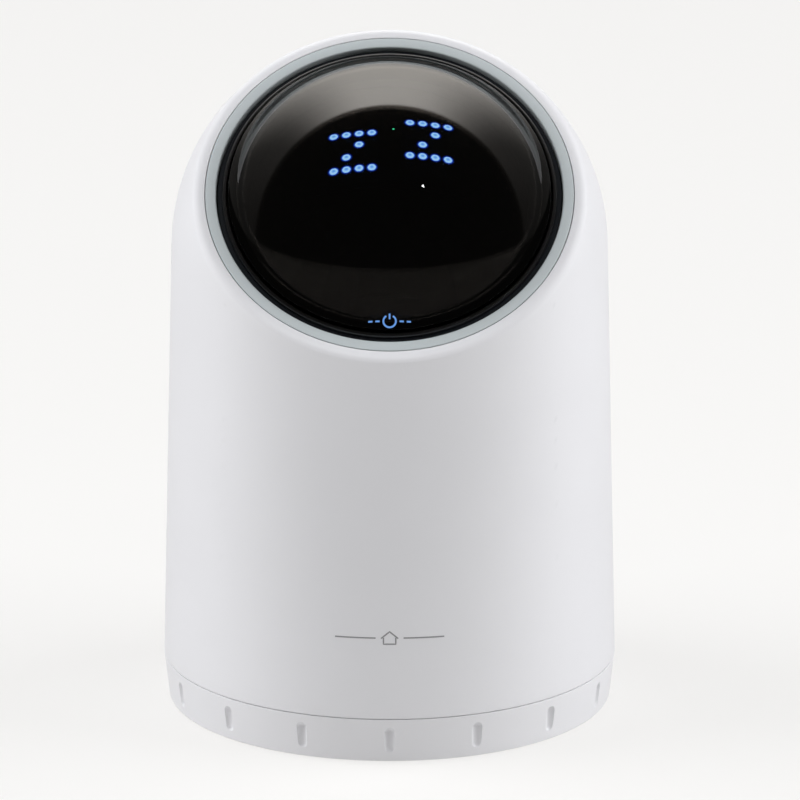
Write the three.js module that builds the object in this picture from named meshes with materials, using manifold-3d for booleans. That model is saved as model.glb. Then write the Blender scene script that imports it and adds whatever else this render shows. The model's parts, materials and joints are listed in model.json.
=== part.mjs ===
// A tabletop smart home hub: a white tapered body with a slanted round visor,
// a twist-off base, a rear port panel and the electronics that the body holds.
// Units are millimetres, +Z is up, the front faces -Y, and z = 0 is the table.

import * as THREE from 'three';
import { mergeVertices } from 'three/addons/utils/BufferGeometryUtils.js';
import Module from 'manifold-3d';

const wasm = await Module();
wasm.setup();

const { degToRad } = THREE.MathUtils;

// ---- driving dimensions ----

const GAP = 0.3;                        // clearance between touching pieces
const ROUND = 40;                       // facets of a large circle
const MEDIUM_ROUND = 24;                // facets of the carrier and the loudspeaker
const SMALL_ROUND = 12;                 // facets of a small circle
const SCREW_ROUND = 8;                  // facets of a screw or a screw hole
const SCREW_HOLE = 1.3;                 // radius of a small screw's hole

// body: a cone tangent to a spherical head
const HEAD_RADIUS = 53.4;
const HEAD_Z = 114.5;                   // height of the head sphere's centre
const TAPER = degToRad(1.44);           // the cone's half angle
const WALL = 2.4;
const SHELL_BOTTOM = 11.3;
const CONE_HEIGHTS = [60, 90, 98, 106];  // where the cone's surface is divided

// visor: a round opening where a slanted plane cuts the head
const VISOR_TILT = degToRad(42.9);
const CUT_DISTANCE = 24.5;              // from the head's centre to the plane
const RIM_CHAMFER = 1.2;                // height of the rim's outer chamfer
const COLLAR_DEPTH = 8.4;
const COLLAR_RADIUS = 48;
const OPENING_RADIUS = 44.8;
const STEP_RADIUS = 45.7;               // the opening widens below STEP_DEPTH
const STEP_DEPTH = 3.5;

// the bezel, dome and carrier share the visor's axis
const BEZEL_INNER = 42;
const BEZEL_OUTER = 44.45;
const BEZEL_PROUD = 0.2;
const DOME_RADIUS = 45.3;
const DOME_HALF_ANGLE = degToRad(60);
const DOME_THICKNESS = 2.2;
const DOME_RIM_DEPTH = 1;
const FLANGE_TOP = 3.2;
const FLANGE_THICKNESS = 2;
const FLANGE_RADIUS = 42.6;
const CARRIER_RADIUS = 38.6;
const LED_BOARD_RADIUS = 40.2;

// base cup and its grip notches
const BASE_TOP = 11;
const BASE_TOP_RADIUS = 56;
const BASE_LOW_RADIUS = 54.8;
const BASE_BOTTOM = 0.1;
const BASE_EDGE = 0.5;                  // radius of the bottom edge
const BASE_FLOOR = 2.6;
const NOTCH_COUNT = 16;
const NOTCH_RADIUS = 1.35;
const NOTCH_FLOOR = 54.5;               // distance of the notch floor from Z
const NOTCH_LOW = 2.2;
const NOTCH_TOP = 8.9;

// bayonet between the base cup and the lower frame
const BAYONET_ANGLES = [60, 180, 300];
const BAYONET_SPAN = 12;
const BAYONET_INNER = 48;               // radii of the cup's lugs
const BAYONET_OUTER = 53.9;

// lower frame and main board
const FRAME_BOTTOM = 14;
const FRAME_TOP = 16.4;
const FRAME_RADIUS = 52.6;
const FRAME_SCREW_ANGLES = [30, 150, 270];
const FRAME_SCREW_CIRCLE = 50.3;
const BOARD_BOTTOM = 19.4;
const BOARD_TOP = 21;
const BOARD_RADIUS = 44;
const BOARD_SCREW_ANGLES = [0, 130, 235];
const BOARD_SCREW_CIRCLE = 38;

// rear port bay: a rectangular window with a flat panel in it
const BAY_HALF_WIDTH = 22;
const BAY_LOW = 18;
const BAY_HIGH = 44;
const BAY_BACK = 47.6;                  // the bay walls' innermost y
const PANEL_FACE = 51.2;
const PANEL_THICKNESS = 1.8;
const PANEL_SCREWS = [[-19.4, 40.9], [19.4, 21.1]];
const JACK_X = 8;
const USB_X = -10;
const PAIR_BUTTON = [-10, 35.5];        // x and z of the button's centre
const RESET_BUTTON = [8, 39.8];

// sound slots in the back
const SLOT_COUNT = 9;
const SLOT_PITCH = 6;                   // degrees
const SLOT_WIDTH = 2.4;
const SLOT_LOW = 78;
const SLOT_HIGH = 108;

// loudspeaker, firing up
const SPEAKER_LOW = 50;
const SPEAKER_HIGH = 77.8;
const SPEAKER_RADIUS = 36;
const SPEAKER_LEG_ANGLES = [45, 135, 225, 315];
const SPEAKER_LEG_CIRCLE = 47;
const SPEAKER_EAR_BOTTOM = 58;
const SPEAKER_EAR_TOP = 60.5;

// ---- materials ----

const paint = (color, roughness, metalness = 0) =>
  new THREE.MeshStandardMaterial({ color, roughness, metalness });
const shellWhite = paint(0xe9e9ec, 0.5);
const bezelGrey = paint(0xb4b9bc, 0.4);
const sealBlack = paint(0x0c0c0d, 0.7);
const smokedDome = paint(0x151210, 0.05);
const framePlastic = paint(0x3a3c40, 0.6);
const carrierBlack = paint(0x121214, 0.8);
const boardGreen = paint(0x1f5a3c, 0.5);
const boardBlue = paint(0x1c3350, 0.5);
const steel = paint(0xb9bcc0, 0.35, 1);
const aluminium = paint(0xc4c6c9, 0.4, 1);
const connectorBlack = paint(0x1b1b1c, 0.5);
const magnetGrey = paint(0x55575a, 0.4, 1);
const conePaper = paint(0x26262a, 0.9);
const surroundRubber = paint(0x161617, 0.8);
const batteryFoil = paint(0x9fa6ad, 0.35, 0.6);
const amberFilm = paint(0xb9772a, 0.4);
const footRubber = paint(0x2b2b2d, 0.9);
const screenCloth = paint(0x303033, 0.95);

// ---- geometry helpers ----

// A geometry becomes a solid: merged vertices, no slivers, faces pointing out.
function solid(geometry, matrix = null) {
  const bare = new THREE.BufferGeometry();
  bare.setAttribute('position', geometry.getAttribute('position').clone());
  if (geometry.index) bare.setIndex(geometry.index.clone());
  if (matrix) bare.applyMatrix4(matrix);
  const merged = mergeVertices(bare, 1e-4);
  const points = merged.getAttribute('position');
  const faces = [];
  let volume = 0;
  const [a, b, c] = [new THREE.Vector3(), new THREE.Vector3(), new THREE.Vector3()];
  for (let i = 0; i < merged.index.count; i += 3) {
    const face = [merged.index.getX(i), merged.index.getX(i + 1), merged.index.getX(i + 2)];
    if (new Set(face).size < 3) continue;
    a.fromBufferAttribute(points, face[0]);
    b.fromBufferAttribute(points, face[1]);
    c.fromBufferAttribute(points, face[2]);
    volume += a.dot(b.cross(c));
    faces.push(face);
  }
  if (volume < 0) faces.forEach((face) => face.reverse());
  return new wasm.Manifold(new wasm.Mesh({
    numProp: 3,
    vertProperties: new Float32Array(points.array),
    triVerts: new Uint32Array(faces.flat()),
  }));
}

function mesh(name, body, material) {
  const { vertProperties, triVerts } = body.getMesh();
  const geometry = new THREE.BufferGeometry();
  geometry.setAttribute('position', new THREE.BufferAttribute(vertProperties, 3));
  geometry.setIndex(new THREE.BufferAttribute(triVerts, 1));
  geometry.computeVertexNormals();
  const result = new THREE.Mesh(geometry, material);
  result.name = name;
  return result;
}

const union = (first, ...rest) => rest.reduce((sum, next) => sum.add(next), first);
const cut = (first, ...rest) => rest.reduce((sum, next) => sum.subtract(next), first);

// A profile of [radius, z] points turned round Z.
function revolve(points, segments = ROUND) {
  const profile = points.map(([r, z]) => new THREE.Vector2(r, z));
  return new THREE.LatheGeometry(profile, segments).rotateX(Math.PI / 2);
}

// A ring of rectangular section, or a disc when inner is 0.
function ring(inner, outer, low, high, segments = ROUND) {
  const corners = [[inner, low], [outer, low], [outer, high], [inner, high]];
  if (inner > 0) corners.push([inner, low]);
  return revolve(corners, segments);
}

// A box given by its lowest and highest corners.
function box(low, high) {
  const size = high.map((value, i) => value - low[i]);
  const middle = high.map((value, i) => (value + low[i]) / 2);
  return new THREE.BoxGeometry(...size).translate(...middle);
}

// A disc or rod along Z, at x, y, from low to high.
function rod(radius, x, y, low, high, segments = SMALL_ROUND) {
  return ring(0, radius, low, high, segments).translate(x, y, 0);
}

// The same along Y, at x, z: the profile's z values become y values.
function turnedAlongY(points, x, z, segments = SMALL_ROUND) {
  return revolve(points, segments).rotateX(-Math.PI / 2).translate(x, 0, z);
}

function rodAlongY(radius, x, z, low, high, segments = SMALL_ROUND) {
  return turnedAlongY([[0, low], [radius, low], [radius, high], [0, high]], x, z, segments);
}

// A block between two radii, centred on an angle in degrees.
function arcBlock(inner, outer, angle, span, low, high) {
  const from = degToRad(angle - span / 2);
  const to = degToRad(angle + span / 2);
  const shape = new THREE.Shape();
  shape.absarc(0, 0, outer, from, to, false);
  shape.absarc(0, 0, inner, to, from, true);
  const depth = high - low;
  const curveSegments = Math.max(4, Math.ceil(span / 6));
  const block = new THREE.ExtrudeGeometry(shape, { depth, curveSegments, bevelEnabled: false });
  return block.translate(0, 0, low);
}

// A profile drawn in y and z, drawn out along X and centred on it.
function extrudeAlongX(shape, width) {
  const drawn = new THREE.ExtrudeGeometry(shape, { depth: width, bevelEnabled: false });
  const toPlace = new THREE.Matrix4().makeBasis(
    new THREE.Vector3(0, 1, 0), new THREE.Vector3(0, 0, 1), new THREE.Vector3(1, 0, 0));
  return drawn.applyMatrix4(toPlace).translate(-width / 2, 0, 0);
}

// A flat strip bent along [y, z] points, as wide as given along X.
function bentStrip(points, thickness, width) {
  const path = points.map(([y, z]) => new THREE.Vector2(y, z));
  const side = (sign) => path.map((point, i) => {
    const before = path[Math.max(i - 1, 0)];
    const after = path[Math.min(i + 1, path.length - 1)];
    const along = after.clone().sub(before).normalize();
    const offset = new THREE.Vector2(-along.y, along.x).multiplyScalar(sign * thickness / 2);
    return point.clone().add(offset);
  });
  return extrudeAlongX(new THREE.Shape([...side(1), ...side(-1).reverse()]), width);
}

// Arc points of [radius, z], for a circle centred on Z at centreZ.
function arcPoints(radius, centreZ, from, to, steps) {
  return Array.from({ length: steps + 1 }, (_, i) => {
    const angle = from + ((to - from) * i) / steps;
    const r = Math.abs(radius * Math.sin(angle)) < 1e-9 ? 0 : radius * Math.sin(angle);
    return [r, centreZ + radius * Math.cos(angle)];
  });
}

// A curved patch between two spheres centred on Z at centreZ. Angles in
// degrees: side to side about Y, and up and down from the Z axis.
function spherePatch(inner, outer, centreZ, halfWidth, low, high, steps = 8) {
  const positions = [];
  const index = [];
  const row = steps + 1;
  for (const radius of [outer, inner]) {
    for (let j = 0; j <= steps; j += 1) {
      const up = degToRad(low + ((high - low) * j) / steps);
      for (let i = 0; i <= steps; i += 1) {
        const across = degToRad(halfWidth * (2 * i / steps - 1));
        positions.push(
          radius * Math.sin(across) * Math.cos(up),
          radius * Math.sin(up),
          centreZ + radius * Math.cos(across) * Math.cos(up));
      }
    }
  }
  const quad = (a, b, c, d) => index.push(a, b, c, a, c, d);
  const back = row * row;
  for (let j = 0; j < steps; j += 1) {
    for (let i = 0; i < steps; i += 1) {
      const corner = j * row + i;
      quad(corner, corner + 1, corner + 1 + row, corner + row);
      quad(back + corner, back + corner + row, back + corner + 1 + row, back + corner + 1);
    }
  }
  for (let i = 0; i < steps; i += 1) {
    const top = steps * row + i;
    const right = i * row + steps;
    const left = i * row;
    quad(i + 1, i, back + i, back + i + 1);
    quad(top, top + 1, back + top + 1, back + top);
    quad(right + row, right, back + right, back + right + row);
    quad(left, left + row, back + left + row, back + left);
  }
  const patch = new THREE.BufferGeometry();
  patch.setAttribute('position', new THREE.Float32BufferAttribute(positions, 3));
  patch.setIndex(index);
  return patch;
}

const onCircle = (radius, degrees) =>
  [radius * Math.cos(degToRad(degrees)), radius * Math.sin(degToRad(degrees))];

// A pan-head screw on Z with its head's underside at z = 0 and the shank up.
function screw(shank, length, head, headHeight) {
  return revolve([
    [0, -headHeight], [head * 0.8, -headHeight], [head, 0], [shank, 0], [shank, length],
    [0, length],
  ], SCREW_ROUND);
}

// ---- the visor's own frame: Z out of the opening, Y up the slope ----

const visor = new THREE.Group();
visor.position.set(
  0, -CUT_DISTANCE * Math.sin(VISOR_TILT), HEAD_Z + CUT_DISTANCE * Math.cos(VISOR_TILT));
visor.rotation.x = VISOR_TILT;
visor.updateMatrix();
const DOME_CENTRE = -DOME_RIM_DEPTH - DOME_RADIUS * Math.cos(DOME_HALF_ANGLE);

const RETAINER_SCREW_ANGLES = [30, 150, 270];
const RETAINER_SCREW_CIRCLE = 46.4;
const BOSS_TOP = -6.1;
const BOSS_END = 11.4;                  // depth of the retainer bosses
const RETAINER_INNER = 40.6;
const RETAINER_OUTER = 43.4;
const LEDGE_INNER = 38.5;               // ledge under the carrier's flange
const LEDGE_TOP = -7.9;
const EAR_THICKNESS = 2;

// ---- body shell ----

const coneRadius = (z, radius) => radius / Math.cos(TAPER) - (z - HEAD_Z) * Math.tan(TAPER);

// Below the head's equator the rim still lies on the head's sphere, inside the
// cone, so the front of the body leans back from the seam to meet it. Returns
// how far a point at this angle from the front and this height moves inward.
function frontLean(angle, z) {
  const rimRadius = Math.sqrt(HEAD_RADIUS ** 2 - CUT_DISTANCE ** 2);
  const [sine, cosine] = [Math.sin(VISOR_TILT), Math.cos(VISOR_TILT)];
  const forward = CUT_DISTANCE * sine;
  const height = HEAD_Z + CUT_DISTANCE * cosine;
  // the rim point on the same vertical plane through the body's axis
  let [turn, high] = [0, Math.PI / 2];
  for (let i = 0; i < 40; i += 1) {
    const middle = (turn + high) / 2;
    const reach = forward + rimRadius * Math.cos(middle) * cosine;
    const wide = Math.atan2(rimRadius * Math.sin(middle), reach) > Math.abs(angle);
    [turn, high] = wide ? [turn, middle] : [middle, high];
  }
  const rimZ = height - rimRadius * Math.cos(turn) * sine;
  if (rimZ >= HEAD_Z) return 0;
  const onSphere = Math.sqrt(HEAD_RADIUS ** 2 - (HEAD_Z - rimZ) ** 2);
  const depth = coneRadius(rimZ, HEAD_RADIUS) - onSphere;
  return depth * Math.max(0, (Math.min(z, rimZ + 6) - SHELL_BOTTOM) / (rimZ - SHELL_BOTTOM));
}

function leanFront(geometry) {
  const points = geometry.getAttribute('position');
  for (let i = 0; i < points.count; i += 1) {
    const [x, y, z] = [points.getX(i), points.getY(i), points.getZ(i)];
    const radius = Math.hypot(x, y);
    if (y >= 0 || z >= HEAD_Z || radius < 1) continue;
    const scale = 1 - frontLean(Math.atan2(x, -y), z) / radius;
    points.setXY(i, x * scale, y * scale);
  }
  return geometry;
}

function bodyOutline(radius, bottom) {
  const head = arcPoints(radius, HEAD_Z, Math.PI / 2 - TAPER, 0, 8);
  const side = CONE_HEIGHTS.map((z) => [coneRadius(z, radius), z]);
  return [[0, bottom], [coneRadius(bottom, radius), bottom], ...side, ...head];
}

function rimChamfer() {
  const wide = RIM_CHAMFER * 1.4;
  const edge = Math.sqrt(HEAD_RADIUS ** 2 - (CUT_DISTANCE - RIM_CHAMFER) ** 2);
  return revolve([
    [edge - 2 * wide, RIM_CHAMFER], [edge + wide, -2 * RIM_CHAMFER],
    [edge + wide, RIM_CHAMFER], [edge - 2 * wide, RIM_CHAMFER],
  ]);
}

function bodyShell() {
  const outer = solid(leanFront(revolve(bodyOutline(HEAD_RADIUS, SHELL_BOTTOM))));
  const hollow = solid(leanFront(revolve(bodyOutline(HEAD_RADIUS - WALL, SHELL_BOTTOM - 1))));
  const collar = solid(ring(0, COLLAR_RADIUS, -COLLAR_DEPTH, 4), visor.matrix);
  const bayWalls = solid(box(
    [-BAY_HALF_WIDTH - 2, BAY_BACK, FRAME_TOP + 0.4],
    [BAY_HALF_WIDTH + 2, BASE_TOP_RADIUS, BAY_HIGH + 2]));
  let shell = union(outer.subtract(hollow), outer.intersect(collar), outer.intersect(bayWalls));

  // the slanted plane, its chamfer and the stepped opening
  const above = solid(ring(0, 90, 0, 60), visor.matrix);
  const opening = solid(revolve([
    [0, -COLLAR_DEPTH - 1], [STEP_RADIUS, -COLLAR_DEPTH - 1], [STEP_RADIUS, -STEP_DEPTH],
    [OPENING_RADIUS, -STEP_DEPTH], [OPENING_RADIUS, 5], [0, 5],
  ]), visor.matrix);
  shell = cut(shell, above, solid(rimChamfer(), visor.matrix), opening);

  // the rear window and the slots
  shell = cut(shell, solid(box(
    [-BAY_HALF_WIDTH, BAY_BACK - 1, BAY_LOW], [BAY_HALF_WIDTH, BASE_TOP_RADIUS + 2, BAY_HIGH])));
  for (let i = 0; i < SLOT_COUNT; i += 1) {
    const angle = (i - (SLOT_COUNT - 1) / 2) * SLOT_PITCH;
    const slot = box([-SLOT_WIDTH / 2, 45, SLOT_LOW], [SLOT_WIDTH / 2, 60, SLOT_HIGH]);
    shell = cut(shell, solid(slot.rotateZ(degToRad(angle))));
  }

  // bosses for the frame, the retainer and the port panel, with their holes
  for (const angle of FRAME_SCREW_ANGLES) {
    const [x, y] = onCircle(FRAME_SCREW_CIRCLE, angle);
    const boss = solid(rod(3.2, x, y, FRAME_TOP + GAP, 30));
    shell = cut(shell.add(outer.intersect(boss)), solid(rod(1.55, x, y, FRAME_TOP, 27, SCREW_ROUND)));
  }
  for (const angle of RETAINER_SCREW_ANGLES) {
    const [x, y] = onCircle(RETAINER_SCREW_CIRCLE, angle);
    const boss = solid(rod(2.6, x, y, -BOSS_END, BOSS_TOP), visor.matrix);
    const hole = solid(rod(SCREW_HOLE, x, y, -BOSS_END - 1, BOSS_TOP - 0.5, SCREW_ROUND), visor.matrix);
    shell = cut(shell.add(boss), hole);
  }
  for (const [x, z] of PANEL_SCREWS) {
    const back = PANEL_FACE - PANEL_THICKNESS - GAP;
    const side = Math.sign(x);
    const nearX = side * (BAY_HALF_WIDTH - 5.2);
    const farX = side * (BAY_HALF_WIDTH + 1);
    const upper = z > (BAY_LOW + BAY_HIGH) / 2;
    const lug = solid(box(
      [Math.min(nearX, farX), BAY_BACK - 3.6, upper ? BAY_HIGH - 6.2 : BAY_LOW - 1],
      [Math.max(nearX, farX), back, upper ? BAY_HIGH + 1 : BAY_LOW + 6.2]));
    shell = cut(shell.add(lug), solid(rodAlongY(SCREW_HOLE, x, z, BAY_BACK - 2.6, back + 1, SCREW_ROUND)));
  }
  return mesh('body_shell', shell, shellWhite);
}

// ---- visor pieces, in the visor's frame ----

function visorBezel() {
  const flange = STEP_RADIUS - GAP;
  return mesh('visor_bezel', solid(revolve([
    [BEZEL_INNER, -FLANGE_TOP + GAP], [BEZEL_INNER, 0], [BEZEL_OUTER - 0.4, BEZEL_PROUD],
    [BEZEL_OUTER, BEZEL_PROUD - 0.4], [BEZEL_OUTER, -STEP_DEPTH - GAP],
    [flange, -STEP_DEPTH - GAP], [flange, -5.8], [FLANGE_RADIUS + 0.4, -5.8],
    [FLANGE_RADIUS + 0.4, -FLANGE_TOP + GAP], [BEZEL_INNER, -FLANGE_TOP + GAP],
  ])), bezelGrey);
}

function visorGasket() {
  const inner = DOME_RADIUS * Math.sin(DOME_HALF_ANGLE) + GAP;
  const outer = BEZEL_INNER - GAP;
  return mesh('visor_gasket', solid(revolve([
    [inner, -FLANGE_TOP + GAP], [outer, -FLANGE_TOP + GAP], [outer, -1], [inner, -1.5],
    [inner, -FLANGE_TOP + GAP],
  ])), sealBlack);
}

function visorDome() {
  const innerRadius = DOME_RADIUS - DOME_THICKNESS;
  const rim = DOME_RADIUS * Math.sin(DOME_HALF_ANGLE);
  const innerAngle = Math.acos((-DOME_RIM_DEPTH - DOME_CENTRE) / innerRadius);
  const innerRim = innerRadius * Math.sin(innerAngle);
  const flangeBottom = -FLANGE_TOP - FLANGE_THICKNESS;
  return mesh('visor_dome', solid(revolve([
    ...arcPoints(DOME_RADIUS, DOME_CENTRE, 0, DOME_HALF_ANGLE, 8),
    [rim, -FLANGE_TOP], [FLANGE_RADIUS, -FLANGE_TOP], [FLANGE_RADIUS, flangeBottom],
    [innerRim, flangeBottom],
    ...arcPoints(innerRadius, DOME_CENTRE, innerAngle, 0, 5),
  ])), smokedDome);
}

// A tube that presses the dome's flange up, with a ledge under the carrier
// and three ears under the shell's bosses.
function visorRetainer() {
  const top = -FLANGE_TOP - FLANGE_THICKNESS - GAP;
  const bottom = -BOSS_END - GAP - EAR_THICKNESS;
  let retainer = solid(revolve([
    [RETAINER_INNER, top], [FLANGE_RADIUS, top], [FLANGE_RADIUS, BOSS_TOP],
    [RETAINER_OUTER, BOSS_TOP], [RETAINER_OUTER, bottom], [RETAINER_INNER, bottom],
    [RETAINER_INNER, LEDGE_TOP - 2], [LEDGE_INNER, LEDGE_TOP - 2], [LEDGE_INNER, LEDGE_TOP],
    [RETAINER_INNER, LEDGE_TOP], [RETAINER_INNER, top],
  ]));
  for (const angle of RETAINER_SCREW_ANGLES) {
    const [x, y] = onCircle(RETAINER_SCREW_CIRCLE, angle);
    const ear = arcBlock(42, 48.7, angle, 9, bottom, -BOSS_END - GAP);
    const hole = solid(rod(SCREW_HOLE, x, y, bottom - 1, -BOSS_END, SCREW_ROUND));
    retainer = cut(retainer.add(solid(ear)), hole);
  }
  return mesh('visor_retainer', retainer, framePlastic);
}

// A black bowl behind the dome, clamped by its flange.
function ledCarrier() {
  const halfAngle = degToRad(60);
  const inner = CARRIER_RADIUS - 2;
  const innerRim = inner * Math.sin(halfAngle);
  return mesh('led_carrier', solid(revolve([
    ...arcPoints(CARRIER_RADIUS, DOME_CENTRE, 0, halfAngle, 7),
    [CARRIER_RADIUS * Math.sin(halfAngle), -5.9], [40.2, -5.9], [40.2, -7.6],
    [innerRim, -7.6],
    ...arcPoints(inner, DOME_CENTRE, halfAngle, 0, 4),
  ], MEDIUM_ROUND)), carrierBlack);
}

const ledBoard = () => mesh('led_board', solid(spherePatch(
  CARRIER_RADIUS + 0.4, LED_BOARD_RADIUS, DOME_CENTRE, 28, -12, 22, 7)), boardBlue);

const touchSensor = () => mesh('touch_sensor', solid(spherePatch(
  CARRIER_RADIUS + 1.4, DOME_RADIUS - DOME_THICKNESS - 0.9, DOME_CENTRE, 15, -58, -49, 4)),
amberFilm);

function retainerScrews() {
  return RETAINER_SCREW_ANGLES.map((angle, i) => {
    const [x, y] = onCircle(RETAINER_SCREW_CIRCLE, angle);
    const part = screw(1, 6.3, 1.9, 1.4);
    const seat = -BOSS_END - 2 * GAP - EAR_THICKNESS;
    return mesh(`retainer_screw_${i + 1}`, solid(part.translate(x, y, seat)), steel);
  });
}

// ---- base ----

function baseOutline() {
  const edge = BASE_EDGE;
  const corner = [BASE_LOW_RADIUS - edge, BASE_BOTTOM + edge];
  const rounded = [0, 1, 2, 3].map((i) => {
    const angle = degToRad(-90 + 30 * i);
    return [corner[0] + edge * Math.cos(angle), corner[1] + edge * Math.sin(angle)];
  });
  const floor = BASE_BOTTOM + BASE_FLOOR;
  return [
    [0, BASE_BOTTOM], ...rounded, [BASE_TOP_RADIUS, BASE_TOP],
    [BASE_TOP_RADIUS - 2.6, BASE_TOP], [BASE_LOW_RADIUS - 2.2, floor], [0, floor],
  ];
}

function notchCutter(angle) {
  const centre = NOTCH_FLOOR + NOTCH_RADIUS;
  const cutter = revolve([
    ...arcPoints(NOTCH_RADIUS, NOTCH_LOW + NOTCH_RADIUS, Math.PI, Math.PI / 2, 2),
    ...arcPoints(NOTCH_RADIUS, NOTCH_TOP - NOTCH_RADIUS, Math.PI / 2, 0, 2),
  ], 10);
  return solid(cutter.translate(0, -centre, 0).rotateZ(angle));
}

function baseCup() {
  let cup = solid(revolve(baseOutline()));
  for (const angle of BAYONET_ANGLES) {
    cup = cup.add(solid(arcBlock(BAYONET_INNER, BAYONET_OUTER, angle, BAYONET_SPAN, 8.5, 10.5)));
  }
  for (let i = 0; i < NOTCH_COUNT; i += 1) {
    cup = cup.subtract(notchCutter((2 * Math.PI * i) / NOTCH_COUNT));
  }
  const footGroove = solid(ring(37.7, 47.3, 0, 1.8));
  return mesh('base_cup', cup.subtract(footGroove), shellWhite);
}

const footRing = () => mesh('foot_ring', solid(ring(38, 47, 0, 1.5)), footRubber);

// ---- lower frame and battery ----

function lowerFrame() {
  let frame = union(
    solid(ring(8, FRAME_RADIUS, FRAME_BOTTOM, FRAME_TOP)),
    solid(ring(45.5, 47.5, 5.9, FRAME_BOTTOM + 1)));
  for (const angle of BAYONET_ANGLES) {
    frame = frame.add(solid(arcBlock(47, 51, angle, BAYONET_SPAN, 5.9, 8.2)));
  }
  for (const angle of BOARD_SCREW_ANGLES) {
    const [x, y] = onCircle(BOARD_SCREW_CIRCLE, angle);
    const post = solid(rod(3, x, y, FRAME_TOP - 1, BOARD_BOTTOM - GAP));
    frame = cut(frame.add(post), solid(rod(SCREW_HOLE, x, y, FRAME_BOTTOM + 0.8, BOARD_TOP, SCREW_ROUND)));
  }
  for (const angle of FRAME_SCREW_ANGLES) {
    const [x, y] = onCircle(FRAME_SCREW_CIRCLE, angle);
    frame = frame.subtract(solid(rod(1.6, x, y, FRAME_BOTTOM - 1, FRAME_TOP + 1, SCREW_ROUND)));
  }
  for (const angle of SPEAKER_LEG_ANGLES) {
    const [x, y] = onCircle(SPEAKER_LEG_CIRCLE, angle);
    const leg = solid(rod(2.4, x, y, FRAME_TOP - 1, SPEAKER_EAR_BOTTOM - GAP));
    const hole = rod(SCREW_HOLE, x, y, SPEAKER_EAR_BOTTOM - 9, SPEAKER_EAR_BOTTOM, SCREW_ROUND);
    frame = cut(frame.add(leg), solid(hole));
  }
  return mesh('lower_frame', frame, framePlastic);
}

function frameScrews() {
  return FRAME_SCREW_ANGLES.map((angle, i) => {
    const [x, y] = onCircle(FRAME_SCREW_CIRCLE, angle);
    const part = screw(1.25, 12, 2.4, 1.5).translate(x, y, FRAME_BOTTOM - GAP);
    return mesh(`frame_screw_${i + 1}`, solid(part), steel);
  });
}

const BATTERY_HALF = [30, 20];
const BATTERY_LOW = 6.4;
const STRAP_WIDTH = 12;
const STRAP_THICKNESS = 1.2;
const STRAP_FOOT = 6;

const backupBattery = () => mesh('backup_battery', solid(box(
  [-BATTERY_HALF[0], -BATTERY_HALF[1], BATTERY_LOW],
  [BATTERY_HALF[0], BATTERY_HALF[1], FRAME_BOTTOM - GAP])), batteryFoil);

// A strap under the battery, with both feet against the frame.
function batteryStrap() {
  const edge = BATTERY_HALF[1] + GAP;
  const low = BATTERY_LOW - GAP;
  const top = FRAME_BOTTOM - GAP;
  const outer = edge + STRAP_THICKNESS;
  const foot = edge + STRAP_FOOT;
  const shelf = top - STRAP_THICKNESS;
  const under = low - STRAP_THICKNESS;
  const outline = new THREE.Shape([
    [-foot, top], [-foot, shelf], [-outer, shelf], [-outer, under],
    [outer, under], [outer, shelf], [foot, shelf], [foot, top],
    [edge, top], [edge, low], [-edge, low], [-edge, top],
  ].map(([y, z]) => new THREE.Vector2(y, z)));
  return mesh('battery_strap', solid(extrudeAlongX(outline, STRAP_WIDTH)), steel);
}

// ---- main board and what it carries ----

function mainBoard() {
  let board = solid(ring(0, BOARD_RADIUS, BOARD_BOTTOM, BOARD_TOP, MEDIUM_ROUND));
  for (const angle of BOARD_SCREW_ANGLES) {
    const [x, y] = onCircle(BOARD_SCREW_CIRCLE, angle);
    board = board.subtract(solid(rod(SCREW_HOLE, x, y, BOARD_BOTTOM - 1, BOARD_TOP + 1, SCREW_ROUND)));
  }
  return mesh('main_board', board, boardGreen);
}

function boardScrews() {
  return BOARD_SCREW_ANGLES.map((angle, i) => {
    const [x, y] = onCircle(BOARD_SCREW_CIRCLE, angle);
    const part = screw(1, 5.6, 2, 1.5).rotateX(Math.PI).translate(x, y, BOARD_TOP + GAP);
    return mesh(`board_screw_${i + 1}`, solid(part), steel);
  });
}

const ON_BOARD = BOARD_TOP + GAP;
const PROCESSOR = { x: -15, y: -6, half: 13, height: 2.6 };

const processorShield = () => mesh('processor_shield', solid(box(
  [PROCESSOR.x - PROCESSOR.half, PROCESSOR.y - PROCESSOR.half, ON_BOARD],
  [PROCESSOR.x + PROCESSOR.half, PROCESSOR.y + PROCESSOR.half, ON_BOARD + PROCESSOR.height])),
steel);

function heatSink() {
  const low = ON_BOARD + PROCESSOR.height + GAP;
  const reach = PROCESSOR.half + 1;
  const fins = 7;
  const fin = 1.4;
  const pitch = (2 * reach - fin) / (fins - 1);
  const at = (dx, dy) => [PROCESSOR.x + dx, PROCESSOR.y + dy];
  let sink = solid(box([...at(-reach, -reach), low], [...at(reach, reach), low + 1.8]));
  for (let i = 0; i < fins; i += 1) {
    const left = -reach + i * pitch;
    sink = sink.add(solid(box(
      [...at(left, -reach), low + 1], [...at(left + fin, reach), low + 9])));
  }
  return mesh('heat_sink', sink, aluminium);
}

const radioShield = () => mesh('radio_shield', solid(box(
  [12, -22, ON_BOARD], [30, -8, ON_BOARD + 2.4])), steel);

const ribbonConnector = () => mesh('ribbon_connector', solid(box(
  [-8, -37, ON_BOARD], [8, -32, ON_BOARD + 3])), connectorBlack);

const displayRibbon = () => mesh('display_ribbon', solid(bentStrip([
  [-27.5, 107.5], [-29.5, 100], [-32, 92], [-37, 85.5], [-41.5, 80], [-42.5, 74], [-42.5, 50],
  [-41, 38], [-37.5, 30.5], [-34.5, ON_BOARD + 3 + GAP],
], 0.5, 10)), amberFilm);

// ---- rear ports ----

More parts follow.
